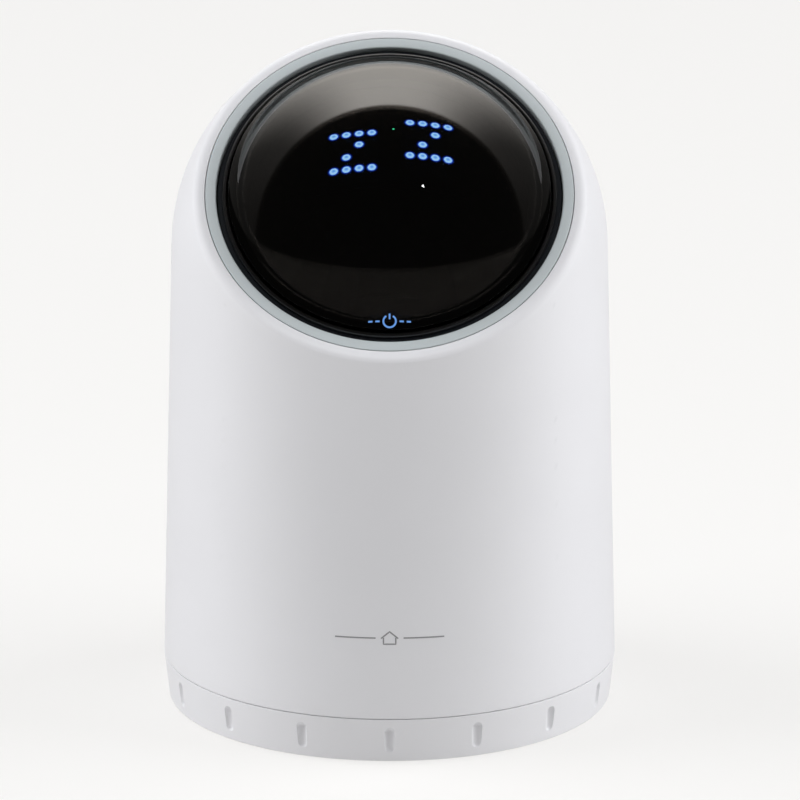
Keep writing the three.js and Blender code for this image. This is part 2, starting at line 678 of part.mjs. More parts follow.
function ethernetJack() {
  const body = solid(box([JACK_X - 8, 35.4, ON_BOARD], [JACK_X + 8, PANEL_FACE - GAP, 34.9]));
  const socket = solid(box([JACK_X - 5.9, 38.6, 23.8], [JACK_X + 5.9, PANEL_FACE + 1, 31]));
  const latch = solid(box([JACK_X - 3, 38.6, 30], [JACK_X + 3, PANEL_FACE + 1, 33.2]));
  return mesh('ethernet_jack', cut(body, socket, latch), connectorBlack);
}

function usbInlet() {
  const height = 3.3;
  const middle = ON_BOARD + height / 2;
  const front = PANEL_FACE - GAP;
  const body = solid(box([USB_X - 4.6, 43.5, ON_BOARD], [USB_X + 4.6, front, ON_BOARD + height]));
  const mouth = solid(box([USB_X - 4.2, 44.6, middle - 1.25], [USB_X + 4.2, front + 1, middle + 1.25]));
  const tongue = solid(box([USB_X - 3.3, 44, middle - 0.35], [USB_X + 3.3, front - 0.8, middle + 0.35]));
  return mesh('usb_c_inlet', body.subtract(mouth).add(tongue), steel);
}

function portPanel() {
  const back = PANEL_FACE - PANEL_THICKNESS;
  const through = (low, high) => solid(box([low[0], back - 1, low[1]], [high[0], PANEL_FACE + 1, high[1]]));
  const edge = 0.4;
  let panel = solid(box(
    [-BAY_HALF_WIDTH + GAP, back, BAY_LOW + GAP], [BAY_HALF_WIDTH - GAP, PANEL_FACE, BAY_HIGH - GAP]));
  panel = cut(
    panel,
    through([JACK_X - 8 - edge, ON_BOARD - edge], [JACK_X + 8 + edge, 34.9 + edge]),
    through([USB_X - 4.6 - edge, ON_BOARD - edge], [USB_X + 4.6 + edge, ON_BOARD + 3.3 + edge]),
    solid(rodAlongY(4.15, ...PAIR_BUTTON, back - 1, PANEL_FACE + 1)),
    solid(rodAlongY(1.9, ...RESET_BUTTON, back - 1, PANEL_FACE + 1)));
  for (const [x, z] of PANEL_SCREWS) {
    panel = cut(
      panel,
      solid(rodAlongY(SCREW_HOLE, x, z, back - 1, PANEL_FACE + 1, SCREW_ROUND)),
      solid(rodAlongY(2.1, x, z, PANEL_FACE - 1.1, PANEL_FACE + 1, SCREW_ROUND)));
  }
  return mesh('rear_port_panel', panel, bezelGrey);
}

function panelScrews() {
  return PANEL_SCREWS.map(([x, z], i) => {
    const part = screw(1, 4.8, 1.8, 0.8).rotateX(Math.PI / 2);
    return mesh(`panel_screw_${i + 1}`, solid(part.translate(x, PANEL_FACE - 0.8, z)), steel);
  });
}

// A push button in the panel, its switch behind it and the plunger between.
const BUTTON_INNER = PANEL_FACE - PANEL_THICKNESS - GAP;
const BUTTON_BACK = 48;
const BUTTON_BOARD = [39.3, 40.6];
const SWITCH_FRONT = 44.4;

function pushButton(name, [x, z], radius, front, flange) {
  return mesh(name, solid(turnedAlongY([
    [0, front], [radius - 0.4, front], [radius, front - 0.4], [radius, BUTTON_INNER],
    [flange, BUTTON_INNER], [flange, BUTTON_BACK], [0, BUTTON_BACK],
  ], x, z)), shellWhite);
}

const plunger = (name, [x, z], radius) => mesh(name, solid(
  rodAlongY(radius, x, z, 43.2, BUTTON_BACK - GAP, SCREW_ROUND)), connectorBlack);

function tactSwitch(name, [x, z], half, bore) {
  const body = solid(box(
    [x - half, BUTTON_BOARD[1] + GAP, z - half], [x + half, SWITCH_FRONT, z + half]));
  return mesh(name, body.subtract(solid(rodAlongY(bore, x, z, 42, SWITCH_FRONT + 1, SCREW_ROUND))), steel);
}

function buttonBoard() {
  const outline = new THREE.Shape([
    [-20, ON_BOARD], [-1.5, ON_BOARD], [-1.5, 35.6], [14, 35.6], [14, 43], [-20, 43],
  ].map(([x, z]) => new THREE.Vector2(x, z)));
  const depth = BUTTON_BOARD[1] - BUTTON_BOARD[0];
  const board = new THREE.ExtrudeGeometry(outline, { depth, bevelEnabled: false });
  board.rotateX(Math.PI / 2).translate(0, BUTTON_BOARD[1], 0);
  return mesh('button_board', solid(board), boardGreen);
}

// ---- loudspeaker ----

function speakerBox() {
  const inside = SPEAKER_RADIUS - 2.4;
  let cup = solid(revolve([
    [0, SPEAKER_LOW], [SPEAKER_RADIUS, SPEAKER_LOW], [SPEAKER_RADIUS, SPEAKER_HIGH],
    [inside, SPEAKER_HIGH], [inside, SPEAKER_LOW + 2.4], [0, SPEAKER_LOW + 2.4],
  ], MEDIUM_ROUND));
  const cableHole = solid(rod(1.8, 26, 0, SPEAKER_LOW - 1, SPEAKER_LOW + 3, SCREW_ROUND));
  for (const angle of SPEAKER_LEG_ANGLES) {
    const [x, y] = onCircle(SPEAKER_LEG_CIRCLE, angle);
    const ear = solid(arcBlock(
      SPEAKER_RADIUS - 1, SPEAKER_LEG_CIRCLE + 3, angle, 9, SPEAKER_EAR_BOTTOM, SPEAKER_EAR_TOP));
    const hole = solid(rod(SCREW_HOLE, x, y, SPEAKER_EAR_BOTTOM - 1, SPEAKER_EAR_TOP + 1, SCREW_ROUND));
    cup = cut(cup.add(ear), hole);
  }
  return mesh('speaker_box', cup.subtract(cableHole), framePlastic);
}

function speakerScrews() {
  return SPEAKER_LEG_ANGLES.map((angle, i) => {
    const [x, y] = onCircle(SPEAKER_LEG_CIRCLE, angle);
    const part = screw(1, 9, 2, 1.5).rotateX(Math.PI).translate(x, y, SPEAKER_EAR_TOP + GAP);
    return mesh(`speaker_screw_${i + 1}`, solid(part), steel);
  });
}

const FLANGE_LOW = SPEAKER_HIGH + GAP;
const FLANGE_HIGH = FLANGE_LOW + 2;

const speakerBasket = () => mesh('speaker_basket', solid(revolve([
  [30.6, FLANGE_HIGH], [36, FLANGE_HIGH], [36, FLANGE_LOW], [33, FLANGE_LOW], [20.5, 64.5],
  [20.5, 62.3], [12, 62.3], [12, 63.9], [18.8, 63.9], [30.6, 77.6], [30.6, FLANGE_HIGH],
], MEDIUM_ROUND)), steel);

// Ring magnet and back plate with the gap that the voice coil moves in.
const speakerMagnet = () => mesh('speaker_magnet', solid(revolve([
  [0, 52.8], [20, 52.8], [20, 62], [8.3, 62], [8.3, 55.5], [6, 55.5], [6, 62.6], [0, 62.6],
], MEDIUM_ROUND)), magnetGrey);

// Paper cone, dust cap and voice coil former in one piece.
function speakerCone() {
  const cone = solid(revolve([
    [0, 71.6], [7.6, 69.2], [26.4, 79.4], [26.4, 80.2], [25.6, 80.2], [8.4, 70.8], [0, 72.9],
  ], MEDIUM_ROUND));
  return mesh('speaker_cone', cone.add(solid(ring(6.7, 7.6, 58, 70, MEDIUM_ROUND))), conePaper);
}

const speakerSurround = () => mesh('speaker_surround', solid(revolve([
  [26.8, 79.2], [28.6, 80.9], [30.3, 79.2], [30.3, 80.2], [28.6, 82], [26.8, 80.2], [26.8, 79.2],
], MEDIUM_ROUND)), surroundRubber);

function speakerCable() {
  const route = new THREE.CatmullRomCurve3([
    [26, 0, 60], [26, 0, 54], [26, 0, 46], [26, 3, 38], [24, 8, 30], [22, 10, 24.6],
  ].map((point) => new THREE.Vector3(...point)));
  const section = new THREE.Shape().absarc(0, 0, 1, 0, 2 * Math.PI, false);
  const options = { steps: 18, extrudePath: route, curveSegments: 2, bevelEnabled: false };
  return mesh('speaker_cable', solid(new THREE.ExtrudeGeometry(section, options)), sealBlack);
}

const speakerPlug = () => mesh('speaker_plug', solid(box(
  [18.5, 7, ON_BOARD], [25.5, 13, ON_BOARD + 3])), connectorBlack);

// ---- antennas and dust screen ----

const antenna = (name, side) => mesh(name, solid(box(
  [side * 49 - 0.5, -7, 62], [side * 49 + 0.5, 7, 104])), boardGreen);

const dustScreen = () => mesh('rear_dust_screen', solid(arcBlock(
  49.4, 50.2, 90, 64, SLOT_LOW - 3, SLOT_HIGH + 3)), screenCloth);

// ---- assembly ----

const hub = new THREE.Group();
visor.add(
  visorBezel(), visorGasket(), visorDome(), visorRetainer(), ledCarrier(), ledBoard(),
  touchSensor(), ...retainerScrews());
hub.add(
  bodyShell(), visor, baseCup(), footRing(),
  lowerFrame(), ...frameScrews(), backupBattery(), batteryStrap(),
  mainBoard(), ...boardScrews(), processorShield(), heatSink(), radioShield(),
  ribbonConnector(), displayRibbon(),
  ethernetJack(), usbInlet(), portPanel(), ...panelScrews(), buttonBoard(),
  pushButton('pair_button', PAIR_BUTTON, 3.85, PANEL_FACE + 1.2, 5.2),
  plunger('pair_plunger', PAIR_BUTTON, 1.7),
  tactSwitch('pair_switch', PAIR_BUTTON, 3, 2),
  pushButton('reset_button', RESET_BUTTON, 1.6, PANEL_FACE - 0.5, 2.6),
  plunger('reset_plunger', RESET_BUTTON, 1),
  tactSwitch('reset_switch', RESET_BUTTON, 2.3, 1.3),
  speakerBox(), ...speakerScrews(), speakerBasket(), speakerMagnet(), speakerCone(),
  speakerSurround(), speakerCable(), speakerPlug(),
  antenna('antenna_left', -1), antenna('antenna_right', 1), dustScreen());

export default hub;
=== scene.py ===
# Looks for a tabletop smart home hub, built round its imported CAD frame.
# Sizes are millimetres in the CAD's own frame until a mesh is made; +Z is up
# and the front faces -Y. The visor has its own frame: Z out of the opening.

import json
import math

import bpy
import numpy as np
from mathutils import Matrix, Vector


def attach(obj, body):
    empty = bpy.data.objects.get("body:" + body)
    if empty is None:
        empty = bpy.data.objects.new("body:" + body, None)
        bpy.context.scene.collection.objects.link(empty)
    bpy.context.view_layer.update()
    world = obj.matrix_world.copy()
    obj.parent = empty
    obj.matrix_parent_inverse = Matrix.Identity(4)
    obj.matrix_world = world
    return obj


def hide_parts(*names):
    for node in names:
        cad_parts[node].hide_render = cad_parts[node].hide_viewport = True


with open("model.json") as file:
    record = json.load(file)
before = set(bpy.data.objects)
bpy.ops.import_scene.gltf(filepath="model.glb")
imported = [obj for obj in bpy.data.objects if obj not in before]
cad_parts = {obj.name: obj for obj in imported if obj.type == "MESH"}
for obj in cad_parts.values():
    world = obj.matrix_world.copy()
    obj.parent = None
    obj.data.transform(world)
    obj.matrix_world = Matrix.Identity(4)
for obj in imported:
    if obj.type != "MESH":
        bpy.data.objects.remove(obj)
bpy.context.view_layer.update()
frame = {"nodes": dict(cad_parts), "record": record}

MM = 0.001
GAP = 0.3                # clearance between neighbouring parts
SHARP = 35               # degrees between faces that make a crisp edge

# ---- sizes repeated from the CAD ----

HEAD_RADIUS = 53.4
HEAD_Z = 114.5
TAPER = math.radians(1.44)
WALL = 2.4
SHELL_BOTTOM = 11.3
VISOR_TILT = math.radians(42.9)
CUT_DISTANCE = 24.5
COLLAR_DEPTH = 8.4
COLLAR_RADIUS = 48
OPENING_RADIUS = 44.8
STEP_RADIUS = 45.7
STEP_DEPTH = 3.5

BEZEL_INNER = 42
BEZEL_OUTER = 44.45
DOME_RADIUS = 45.3
DOME_HALF_ANGLE = math.radians(60)
DOME_THICKNESS = 2.2
DOME_CENTRE = -1 - DOME_RADIUS * math.cos(DOME_HALF_ANGLE)
FLARE_START = math.radians(54)
FLARE_END = math.radians(34)
FLARE_EDGE = 0.25
FLANGE_TOP = 3.2
FLANGE_THICKNESS = 2
FLANGE_RADIUS = 42.6
LED_BOARD_RADIUS = 40.2

BASE_TOP = 11
BASE_TOP_RADIUS = 56
BASE_LOW_RADIUS = 54.8
BASE_BOTTOM = 0.1
BASE_EDGE = 0.5
BASE_FLOOR = 2.6
BASE_WALL = 2.6
SEAM_FILL = 0.13         # the seam looks finer than the gap the joint needs
NOTCH_COUNT = 16
NOTCH_RADIUS = 1.35
NOTCH_FLOOR = 54.5
NOTCH_LOW = 2.2
NOTCH_TOP = 8.9
FOOT_INNER = 38
FOOT_OUTER = 47
FOOT_HEIGHT = 1.5

BAY_HALF_WIDTH = 22
BAY_LOW = 18
BAY_HIGH = 44
BAY_BACK = 47.6
BAY_CHAMFER = 0.4
PANEL_FACE = 51.2
PANEL_THICKNESS = 1.8
PANEL_BACK = PANEL_FACE - PANEL_THICKNESS

SLOT_COUNT = 9
SLOT_PITCH = 6
SLOT_WIDTH = 2.4
SLOT_LOW = 78
SLOT_HIGH = 108
SLOT_CHAMFER = 0.35

HEAD_CENTRE = np.array([0, 0, HEAD_Z])
VISOR = (
    Matrix.Translation((
        0,
        -CUT_DISTANCE * math.sin(VISOR_TILT),
        HEAD_Z + CUT_DISTANCE * math.cos(VISOR_TILT),
    ))
    @ Matrix.Rotation(VISOR_TILT, 4, "X")
)
VISOR_AXES = np.array(VISOR.to_3x3())         # columns: the visor's X, Y and Z
VISOR_ORIGIN = np.array(VISOR.translation)


# ---- meshes ----

def to_world(points):
    """Points of the visor's frame in the CAD's frame."""
    return np.asarray(points, float) @ VISOR_AXES.T + VISOR_ORIGIN


def new_object(name, data):
    obj = bpy.data.objects.new(name, data)
    bpy.context.scene.collection.objects.link(obj)
    return obj


def make_mesh(name, points, faces, material, sharp=SHARP):
    """A closed mesh from points in millimetres, with its faces pointing out."""
    points = np.asarray(points, float).reshape(-1, 3)
    volume = 0
    for face in faces:
        corners = points[list(face)]
        fan = np.cross(corners[1:-1] - corners[0], corners[2:] - corners[0])
        volume += (fan @ corners[0]).sum()
    if volume < 0:
        faces = [tuple(reversed(face)) for face in faces]
    data = bpy.data.meshes.new(name)
    data.from_pydata((points * MM).tolist(), [], [tuple(f) for f in faces])
    data.polygons.foreach_set("use_smooth", [True] * len(data.polygons))
    data.set_sharp_from_angle(angle=math.radians(sharp))
    data.materials.append(material)
    return new_object(name, data)


def crisp(obj):
    """Marks the sharp edges again, after a cut has made new ones."""
    obj.data.set_sharp_from_angle(angle=math.radians(SHARP))
    return obj


def place(obj, body="root", replaces=()):
    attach(obj, body)
    if replaces:
        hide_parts(*replaces)


def grid_faces(rows, columns, closed_rows=False):
    """Quads of a grid whose columns close round; its rows may close too."""
    faces = []
    for j in range(rows if closed_rows else rows - 1):
        here, there = j * columns, ((j + 1) % rows) * columns
        for i in range(columns):
            k = (i + 1) % columns
            faces.append((here + i, here + k, there + k, there + i))
    return faces


def capped(points, faces, rows, columns, low, high):
    """Closes a grid's first and last rows with fans to two heights on the axis."""
    first, last, end = len(points), len(points) + 1, (rows - 1) * columns
    for i in range(columns):
        k = (i + 1) % columns
        faces += [(first, k, i), (last, end + i, end + k)]
    return np.vstack([points, [[0, 0, low], [0, 0, high]]]), faces


def bar_faces(sections, start):
    """Faces of a closed bar whose sections have four corners each."""
    last = 4 * (sections - 1)
    ends = [(3, 2, 1, 0), (last, last + 1, last + 2, last + 3)]
    return [tuple(start + k for k in face) for face in grid_faces(sections, 4) + ends]


def rounded(corners, steps=4):
    """A closed outline of (a, b, radius) corners with its corners rounded."""
    outline = []
    count = len(corners)
    for i, (a, b, radius) in enumerate(corners):
        here = np.array([a, b], float)
        if radius <= 0:
            outline.append(here)
            continue
        before = np.array(corners[i - 1][:2], float) - here
        after = np.array(corners[(i + 1) % count][:2], float) - here
        reach = [np.linalg.norm(before), np.linalg.norm(after)]
        before, after = before / reach[0], after / reach[1]
        half = math.acos(np.clip(before @ after, -1, 1)) / 2
        tangent = min(radius / math.tan(half), 0.49 * min(reach))
        radius = tangent * math.tan(half)
        middle = here + (before + after) / np.linalg.norm(before + after) * radius / math.sin(half)
        first = here + before * tangent - middle
        last = here + after * tangent - middle
        turn = math.pi - 2 * half
        for step in range(steps + 1):
            t = step / steps
            outline.append(middle + (
                first * math.sin((1 - t) * turn) + last * math.sin(t * turn)) / math.sin(turn))
    return np.array(outline)


def pane(x, half, low, high, radius, margin=0.0, steps=5):
    """A rectangle centred on x, with round corners, as a function of how far it
    grows on every side."""
    def outline(grow=0.0):
        g = grow + margin
        x0, x1, z0, z1, r = x - half - g, x + half + g, low - g, high + g, radius + g
        return rounded([(x0, z0, r), (x1, z0, r), (x1, z1, r), (x0, z1, r)], steps)
    return outline


def arc(radius, centre, start, end, steps):
    """(r, z) points of a circle centred on the axis, by angle from the axis."""
    angles = np.linspace(start, end, steps + 1)
    return np.stack([radius * np.sin(angles), centre + radius * np.cos(angles)], 1)


def lathe_points(outline, segments, open_ends=False):
    """Points and faces of an outline turned round Z. An outline with open ends
    starts and ends on the axis; any other closes on itself."""
    outline = np.asarray(outline, float)
    turn = 2 * math.pi * np.arange(segments) / segments - math.pi / 2
    inner = outline[1:-1] if open_ends else outline
    points = np.stack([
        inner[:, :1] * np.cos(turn), inner[:, :1] * np.sin(turn),
        np.repeat(inner[:, 1:], segments, 1)], -1).reshape(-1, 3)
    faces = grid_faces(len(inner), segments, closed_rows=not open_ends)
    if open_ends:
        return capped(points, faces, len(inner), segments, outline[0, 1], outline[-1, 1])
    return points, faces


def lathe(name, outline, material, segments, open_ends=False, visor=False):
    points, faces = lathe_points(outline, segments, open_ends)
    return make_mesh(name, to_world(points) if visor else points, faces, material)


def boolean(obj, tool, operation="DIFFERENCE"):
    """Cuts or joins a tool object, and removes the tool."""
    modifier = obj.modifiers.new("boolean", "BOOLEAN")
    modifier.operation = operation
    modifier.solver = "EXACT"
    modifier.object = tool
    graph = bpy.context.evaluated_depsgraph_get()
    data = bpy.data.meshes.new_from_object(obj.evaluated_get(graph))
    obj.modifiers.clear()
    spent = [obj.data, tool.data]
    obj.data = data
    bpy.data.objects.remove(tool)
    for mesh in spent:
        bpy.data.meshes.remove(mesh)
    return obj


# ---- the body's surface ----

def cone_radius(z, radius):
    return radius / math.cos(TAPER) - (z - HEAD_Z) * math.tan(TAPER)


RIM_CIRCLE = math.sqrt(HEAD_RADIUS ** 2 - CUT_DISTANCE ** 2)
_turn = np.linspace(0, math.pi / 2, 400)
RIM_ANGLES = np.arctan2(
    RIM_CIRCLE * np.sin(_turn),
    CUT_DISTANCE * math.sin(VISOR_TILT) + RIM_CIRCLE * np.cos(_turn) * math.cos(VISOR_TILT))
RIM_HEIGHTS = (HEAD_Z + CUT_DISTANCE * math.cos(VISOR_TILT)
               - RIM_CIRCLE * np.cos(_turn) * math.sin(VISOR_TILT))


def front_lean(angle, z):
    """How far the front leans back to meet the rim, as in the CAD."""
    rim_z = np.interp(np.abs(angle), RIM_ANGLES, RIM_HEIGHTS)
    below = np.minimum(rim_z, HEAD_Z)
    on_sphere = np.sqrt(HEAD_RADIUS ** 2 - (HEAD_Z - below) ** 2)
    depth = cone_radius(below, HEAD_RADIUS) - on_sphere
    share = (np.minimum(z, rim_z + 6) - SHELL_BOTTOM) / (rim_z - SHELL_BOTTOM)
    leans = (rim_z < HEAD_Z) & (np.abs(angle) < RIM_ANGLES[-1])
    return np.where(leans, depth * np.maximum(0, share), 0)


def body_field(points, radius):
    """Signed distance, near enough, from the body's surface of that head radius."""
    x, y, z = points[..., 0], points[..., 1], points[..., 2]
    across = np.hypot(x, y)
    tangent_z = HEAD_Z + radius * math.sin(TAPER)
    lean = np.where(z < HEAD_Z, front_lean(np.arctan2(x, -y), z), 0)
    cone = across - (cone_radius(z, radius) - lean)
    sphere = np.linalg.norm(points - HEAD_CENTRE, axis=-1) - radius
    return np.where(z >= tangent_z, sphere, cone)


def body_normals(points, radius):
    step = 0.05
    normals = np.empty_like(points)
    for axis in range(3):
        shift = np.zeros(3)
        shift[axis] = step
        normals[..., axis] = (
            body_field(points + shift, radius) - body_field(points - shift, radius))
    return normals / np.linalg.norm(normals, axis=-1, keepdims=True)


def cast(directions, radius):
    """The body's surface along directions from the head's centre."""
    low = np.full(directions.shape[:-1], 0.9 * radius)
    high = np.full(directions.shape[:-1], 140.0)
    for _ in range(44):
        middle = (low + high) / 2
        outside = body_field(HEAD_CENTRE + middle[..., None] * directions, radius) > 0
        low, high = np.where(outside, low, middle), np.where(outside, middle, high)
    return HEAD_CENTRE + low[..., None] * directions


def annulus(first_half_angle, last_half_angle, rows, columns):
    """Directions between a circle round the visor's axis and one round -Z, laid
    out as a smooth grid: a Moebius map makes the two circles concentric."""
    first, last = VISOR_AXES[:, 2], np.array([0, 0, -1.0])
    c1, c2 = math.cos(first_half_angle), math.cos(last_half_angle)
    # the pencil's two point circles: |first + k last| = c1 + k c2
    roots = np.roots([1 - c2 ** 2, 2 * (first @ last - c1 * c2), 1 - c1 ** 2])
    limits = [(first + k * last) / (c1 + k * c2) for k in roots]
    limits.sort(key=lambda p: -(p @ first))
    e3 = limits[0]
    e2 = np.array([1.0, 0, 0])
    e1 = np.cross(e2, e3)

    def flat(p):
        return (p @ e1 + 1j * (p @ e2)) / (1 + p @ e3)

    far = flat(limits[1])
    edges = []
    for axis, half in ((first, first_half_angle), (last, last_half_angle)):
        side = np.cross(e2, axis)
        z = flat(math.cos(half) * axis + math.sin(half) * side)
        edges.append(abs(z / (z - far)))
    radii = np.exp(np.linspace(math.log(edges[0]), math.log(edges[1]), rows + 1))
    turn = 2 * math.pi * np.arange(columns) / columns
    w = radii[:, None] * np.exp(1j * turn)[None]
    z = w * far / (w - 1)
    square = np.abs(z) ** 2
    return (2 * z.real[..., None] * e1 + 2 * z.imag[..., None] * e2
            + (1 - square)[..., None] * e3) / (1 + square)[..., None]


RIM_FILLET = 2.4
RIM_MARGIN = 0.034       # radians of the head's surface that the fillet takes up
OPENING_EDGE = 0.12
SEAM_EDGE = 0.15
SHELL_COLUMNS = 256
OUTER_ROWS = 84
INNER_ROWS = 40


def rim_rows(turn):
    """The rim from the body's surface, over the fillet, into the opening and to
    the collar's foot. Turn is each column's angle round the visor's axis."""
    across = np.stack([np.cos(turn), np.sin(turn), np.zeros_like(turn)], 1)

    def at(radius, depth):
        local = across * np.reshape(radius, (-1, 1))
        local[:, 2] = depth
        return to_world(local)

    middle = np.full(len(turn), RIM_CIRCLE - 0.5 * RIM_FILLET)
    tilt = np.full(len(turn), math.radians(50))
    for _ in range(12):
        end = at(middle + RIM_FILLET * np.sin(tilt), -RIM_FILLET + RIM_FILLET * np.cos(tilt))
        normal = body_normals(end, HEAD_RADIUS) @ VISOR_AXES
        tilt = np.arctan2((normal * across).sum(1), normal[:, 2])
        middle = middle - body_field(end, HEAD_RADIUS) / np.sin(tilt)
    steps = 8
    fillet = [
        at(middle + RIM_FILLET * np.sin(tilt * t), RIM_FILLET * (np.cos(tilt * t) - 1))
        for t in np.linspace(1, 0, steps + 1)]
    inside = rounded([
        (RIM_CIRCLE, 0, 0), (OPENING_RADIUS, 0, OPENING_EDGE), (OPENING_RADIUS, -STEP_DEPTH, 0),
        (STEP_RADIUS, -STEP_DEPTH, 0), (STEP_RADIUS, -COLLAR_DEPTH, 0.3),
        (COLLAR_RADIUS, -COLLAR_DEPTH, 0)])[1:]
    return fillet + [at(np.full(len(turn), r), s) for r, s in inside]


def body_shell_mesh(material):
    rim_angle = math.acos(CUT_DISTANCE / HEAD_RADIUS) + RIM_MARGIN
    seam_z = SHELL_BOTTOM + SEAM_EDGE
    seam_angle = math.atan2(cone_radius(seam_z, HEAD_RADIUS), HEAD_Z - seam_z)
    outer = cast(annulus(rim_angle, seam_angle, OUTER_ROWS, SHELL_COLUMNS), HEAD_RADIUS)
    local = (outer[0] - VISOR_ORIGIN) @ VISOR_AXES
    rim = rim_rows(np.arctan2(local[:, 1], local[:, 0]))

    inside = HEAD_RADIUS - WALL
    collar_angle = math.asin(COLLAR_RADIUS / inside)
    foot_radius = cone_radius(SHELL_BOTTOM, inside)
    foot_angle = math.atan2(foot_radius, HEAD_Z - SHELL_BOTTOM)
    inner = cast(annulus(collar_angle, foot_angle, INNER_ROWS, SHELL_COLUMNS), inside)

    # the seam's rounded bottom edge, under the outer surface's last row
    azimuth = np.arctan2(outer[-1, :, 1], outer[-1, :, 0])
    seam = []
    for angle in np.linspace(0, math.pi / 2, 5)[1:]:
        r = cone_radius(seam_z, HEAD_RADIUS) - SEAM_EDGE * (1 - math.cos(angle))
        z = seam_z - SEAM_EDGE * math.sin(angle)
        seam.append(np.stack([r * np.cos(azimuth), r * np.sin(azimuth),
                              np.full(len(azimuth), z)], 1))
    rows = list(rim) + list(inner) + seam[::-1] + list(outer[::-1])
    points = np.array(rows).reshape(-1, 3)
    return make_mesh("hub_shell", points, grid_faces(len(rows), SHELL_COLUMNS, True), material)


def slot_outline(grow):
    """A sound slot's outline as (across, z), its ends round."""
    radius = SLOT_WIDTH / 2 + grow
    outline = []
    for centre, start in ((SLOT_HIGH + grow - radius, 0), (SLOT_LOW - grow + radius, math.pi)):
        for step in range(9):
            angle = start + math.pi * step / 8
            outline.append((radius * math.cos(angle), centre + radius * math.sin(angle)))
    return np.array(outline)


def bay_outline(grow):
    """The rear bay's outline, with points along its straight sides that let a
    cutter follow the round body."""
    corners = pane(0, BAY_HALF_WIDTH, BAY_LOW, BAY_HIGH, 1.2)(grow)
    outline = []
    for i, here in enumerate(corners):
        there = corners[(i + 1) % len(corners)]
        pieces = max(1, round(np.linalg.norm(there - here) / 2))
        outline.extend(here + (there - here) * k / pieces for k in range(pieces))
    return np.array(outline)


def body_surface_y(outline):
    across = cone_radius(outline[:, 1], HEAD_RADIUS)
    return np.sqrt(across ** 2 - outline[:, 0] ** 2)


def loft(outlines, depths):
    """Points and faces of a body through (x, z) outlines of equal length, each at
    its own depth along Y: one number, or one for each of its points."""
    count = len(outlines[0])
    points, faces = [], []
    for outline, depth in zip(outlines, depths):
        across, up = np.asarray(outline, float).T
        points.extend(zip(across, np.broadcast_to(depth, count), up))
    faces = grid_faces(len(outlines), count)
    faces.append(tuple(range(count - 1, -1, -1)))
    faces.append(tuple(range((len(outlines) - 1) * count, len(outlines) * count)))
    return points, faces


def surface_cutter(outline_at, start, chamfer, widen, reach):
    """A cutter that opens out at the body's surface. Start and reach are its two
    ends, measured outwards from the surface."""
    outlines = [outline_at(grow) for grow in (0, 0, widen, widen)]
    return loft(outlines, [body_surface_y(outline) + depth for outline, depth in zip(
        outlines, (start, -chamfer, chamfer, reach))])


def cut_back(shell):
    """The bay's walls, its window and the sound slots."""
    wall = bay_outline(2)
    points, faces = loft([wall, wall], [BAY_BACK, body_surface_y(wall) - 1])
    boolean(shell, make_mesh("bay_wall", points, faces, None), "UNION")
    to_back = BAY_BACK - 1 - body_surface_y(bay_outline(0))
    points, faces = surface_cutter(bay_outline, to_back, BAY_CHAMFER, 2 * BAY_CHAMFER, 8)
    boolean(shell, make_mesh("bay_cutter", points, faces, None))
    for i in range(SLOT_COUNT):
        points, faces = surface_cutter(slot_outline, -10, SLOT_CHAMFER, SLOT_CHAMFER, 6)
        angle = math.radians((i - (SLOT_COUNT - 1) / 2) * SLOT_PITCH)
        turn = np.array(Matrix.Rotation(angle, 3, "Z"))
        boolean(shell, make_mesh("slot_cutter", np.array(points) @ turn.T, faces, None))
    return shell


def shade_from_field(obj):
    """Gives the corners on the body's surface the true surface's normals."""
    data = crisp(obj).data
    corners = len(data.loops)
    normals = np.empty(corners * 3, np.float32)
    data.corner_normals.foreach_get("vector", normals)
    normals = normals.reshape(-1, 3).astype(float)
    index = np.empty(corners, np.int32)
    data.loops.foreach_get("vertex_index", index)
    points = np.empty(len(data.vertices) * 3, np.float32)
    data.vertices.foreach_get("co", points)
    points = points.reshape(-1, 3)[index].astype(float) / MM
    for radius, side in ((HEAD_RADIUS, 1), (HEAD_RADIUS - WALL, -1)):
        exact = side * body_normals(points, radius)
        near = (np.abs(body_field(points, radius)) < 0.03) & (points[:, 2] > SHELL_BOTTOM + 0.2)
        agree = (exact * normals).sum(1) > math.cos(math.radians(30))
        use = near & agree
        normals[use] = exact[use]
    data.normals_split_custom_set(normals.tolist())


# ---- materials ----

def new_material(name, color, roughness, **sockets):
    """A Principled material whose uniform values sit on the shader's own sockets."""
    material = bpy.data.materials.new(name)
    material.use_nodes = True
    shader = material.node_tree.nodes["Principled BSDF"]
    shader.inputs["Base Color"].default_value = (*color, 1)
    shader.inputs["Roughness"].default_value = roughness
    for socket, value in sockets.items():
        shader.inputs[socket.replace("_", " ")].default_value = value
    return material


def add_node(tree, kind, **inputs):
    """A node whose sockets are given values, or links from other sockets."""
    node = tree.nodes.new(kind)
    for name, value in inputs.items():
        socket = node.inputs[name.replace("_", " ")]
        if isinstance(value, bpy.types.NodeSocket):
            tree.links.new(value, socket)
        else:
            socket.default_value = value
    return node


def drive(material, socket, source):
    """Links a node's output to one of the shader's sockets."""
    tree = material.node_tree
    tree.links.new(source, tree.nodes["Principled BSDF"].inputs[socket])


def object_noise(material, scale, detail=2, stretch=(1, 1, 1)):
    """Noise in the object's own coordinates; scale is features per metre."""
    tree = material.node_tree
    where = add_node(tree, "ShaderNodeTexCoord").outputs["Object"]
    mapping = add_node(tree, "ShaderNodeMapping", Vector=where, Scale=stretch)
    return add_node(tree, "ShaderNodeTexNoise", Vector=mapping.outputs["Vector"],
                    Scale=scale, Detail=detail).outputs["Fac"]


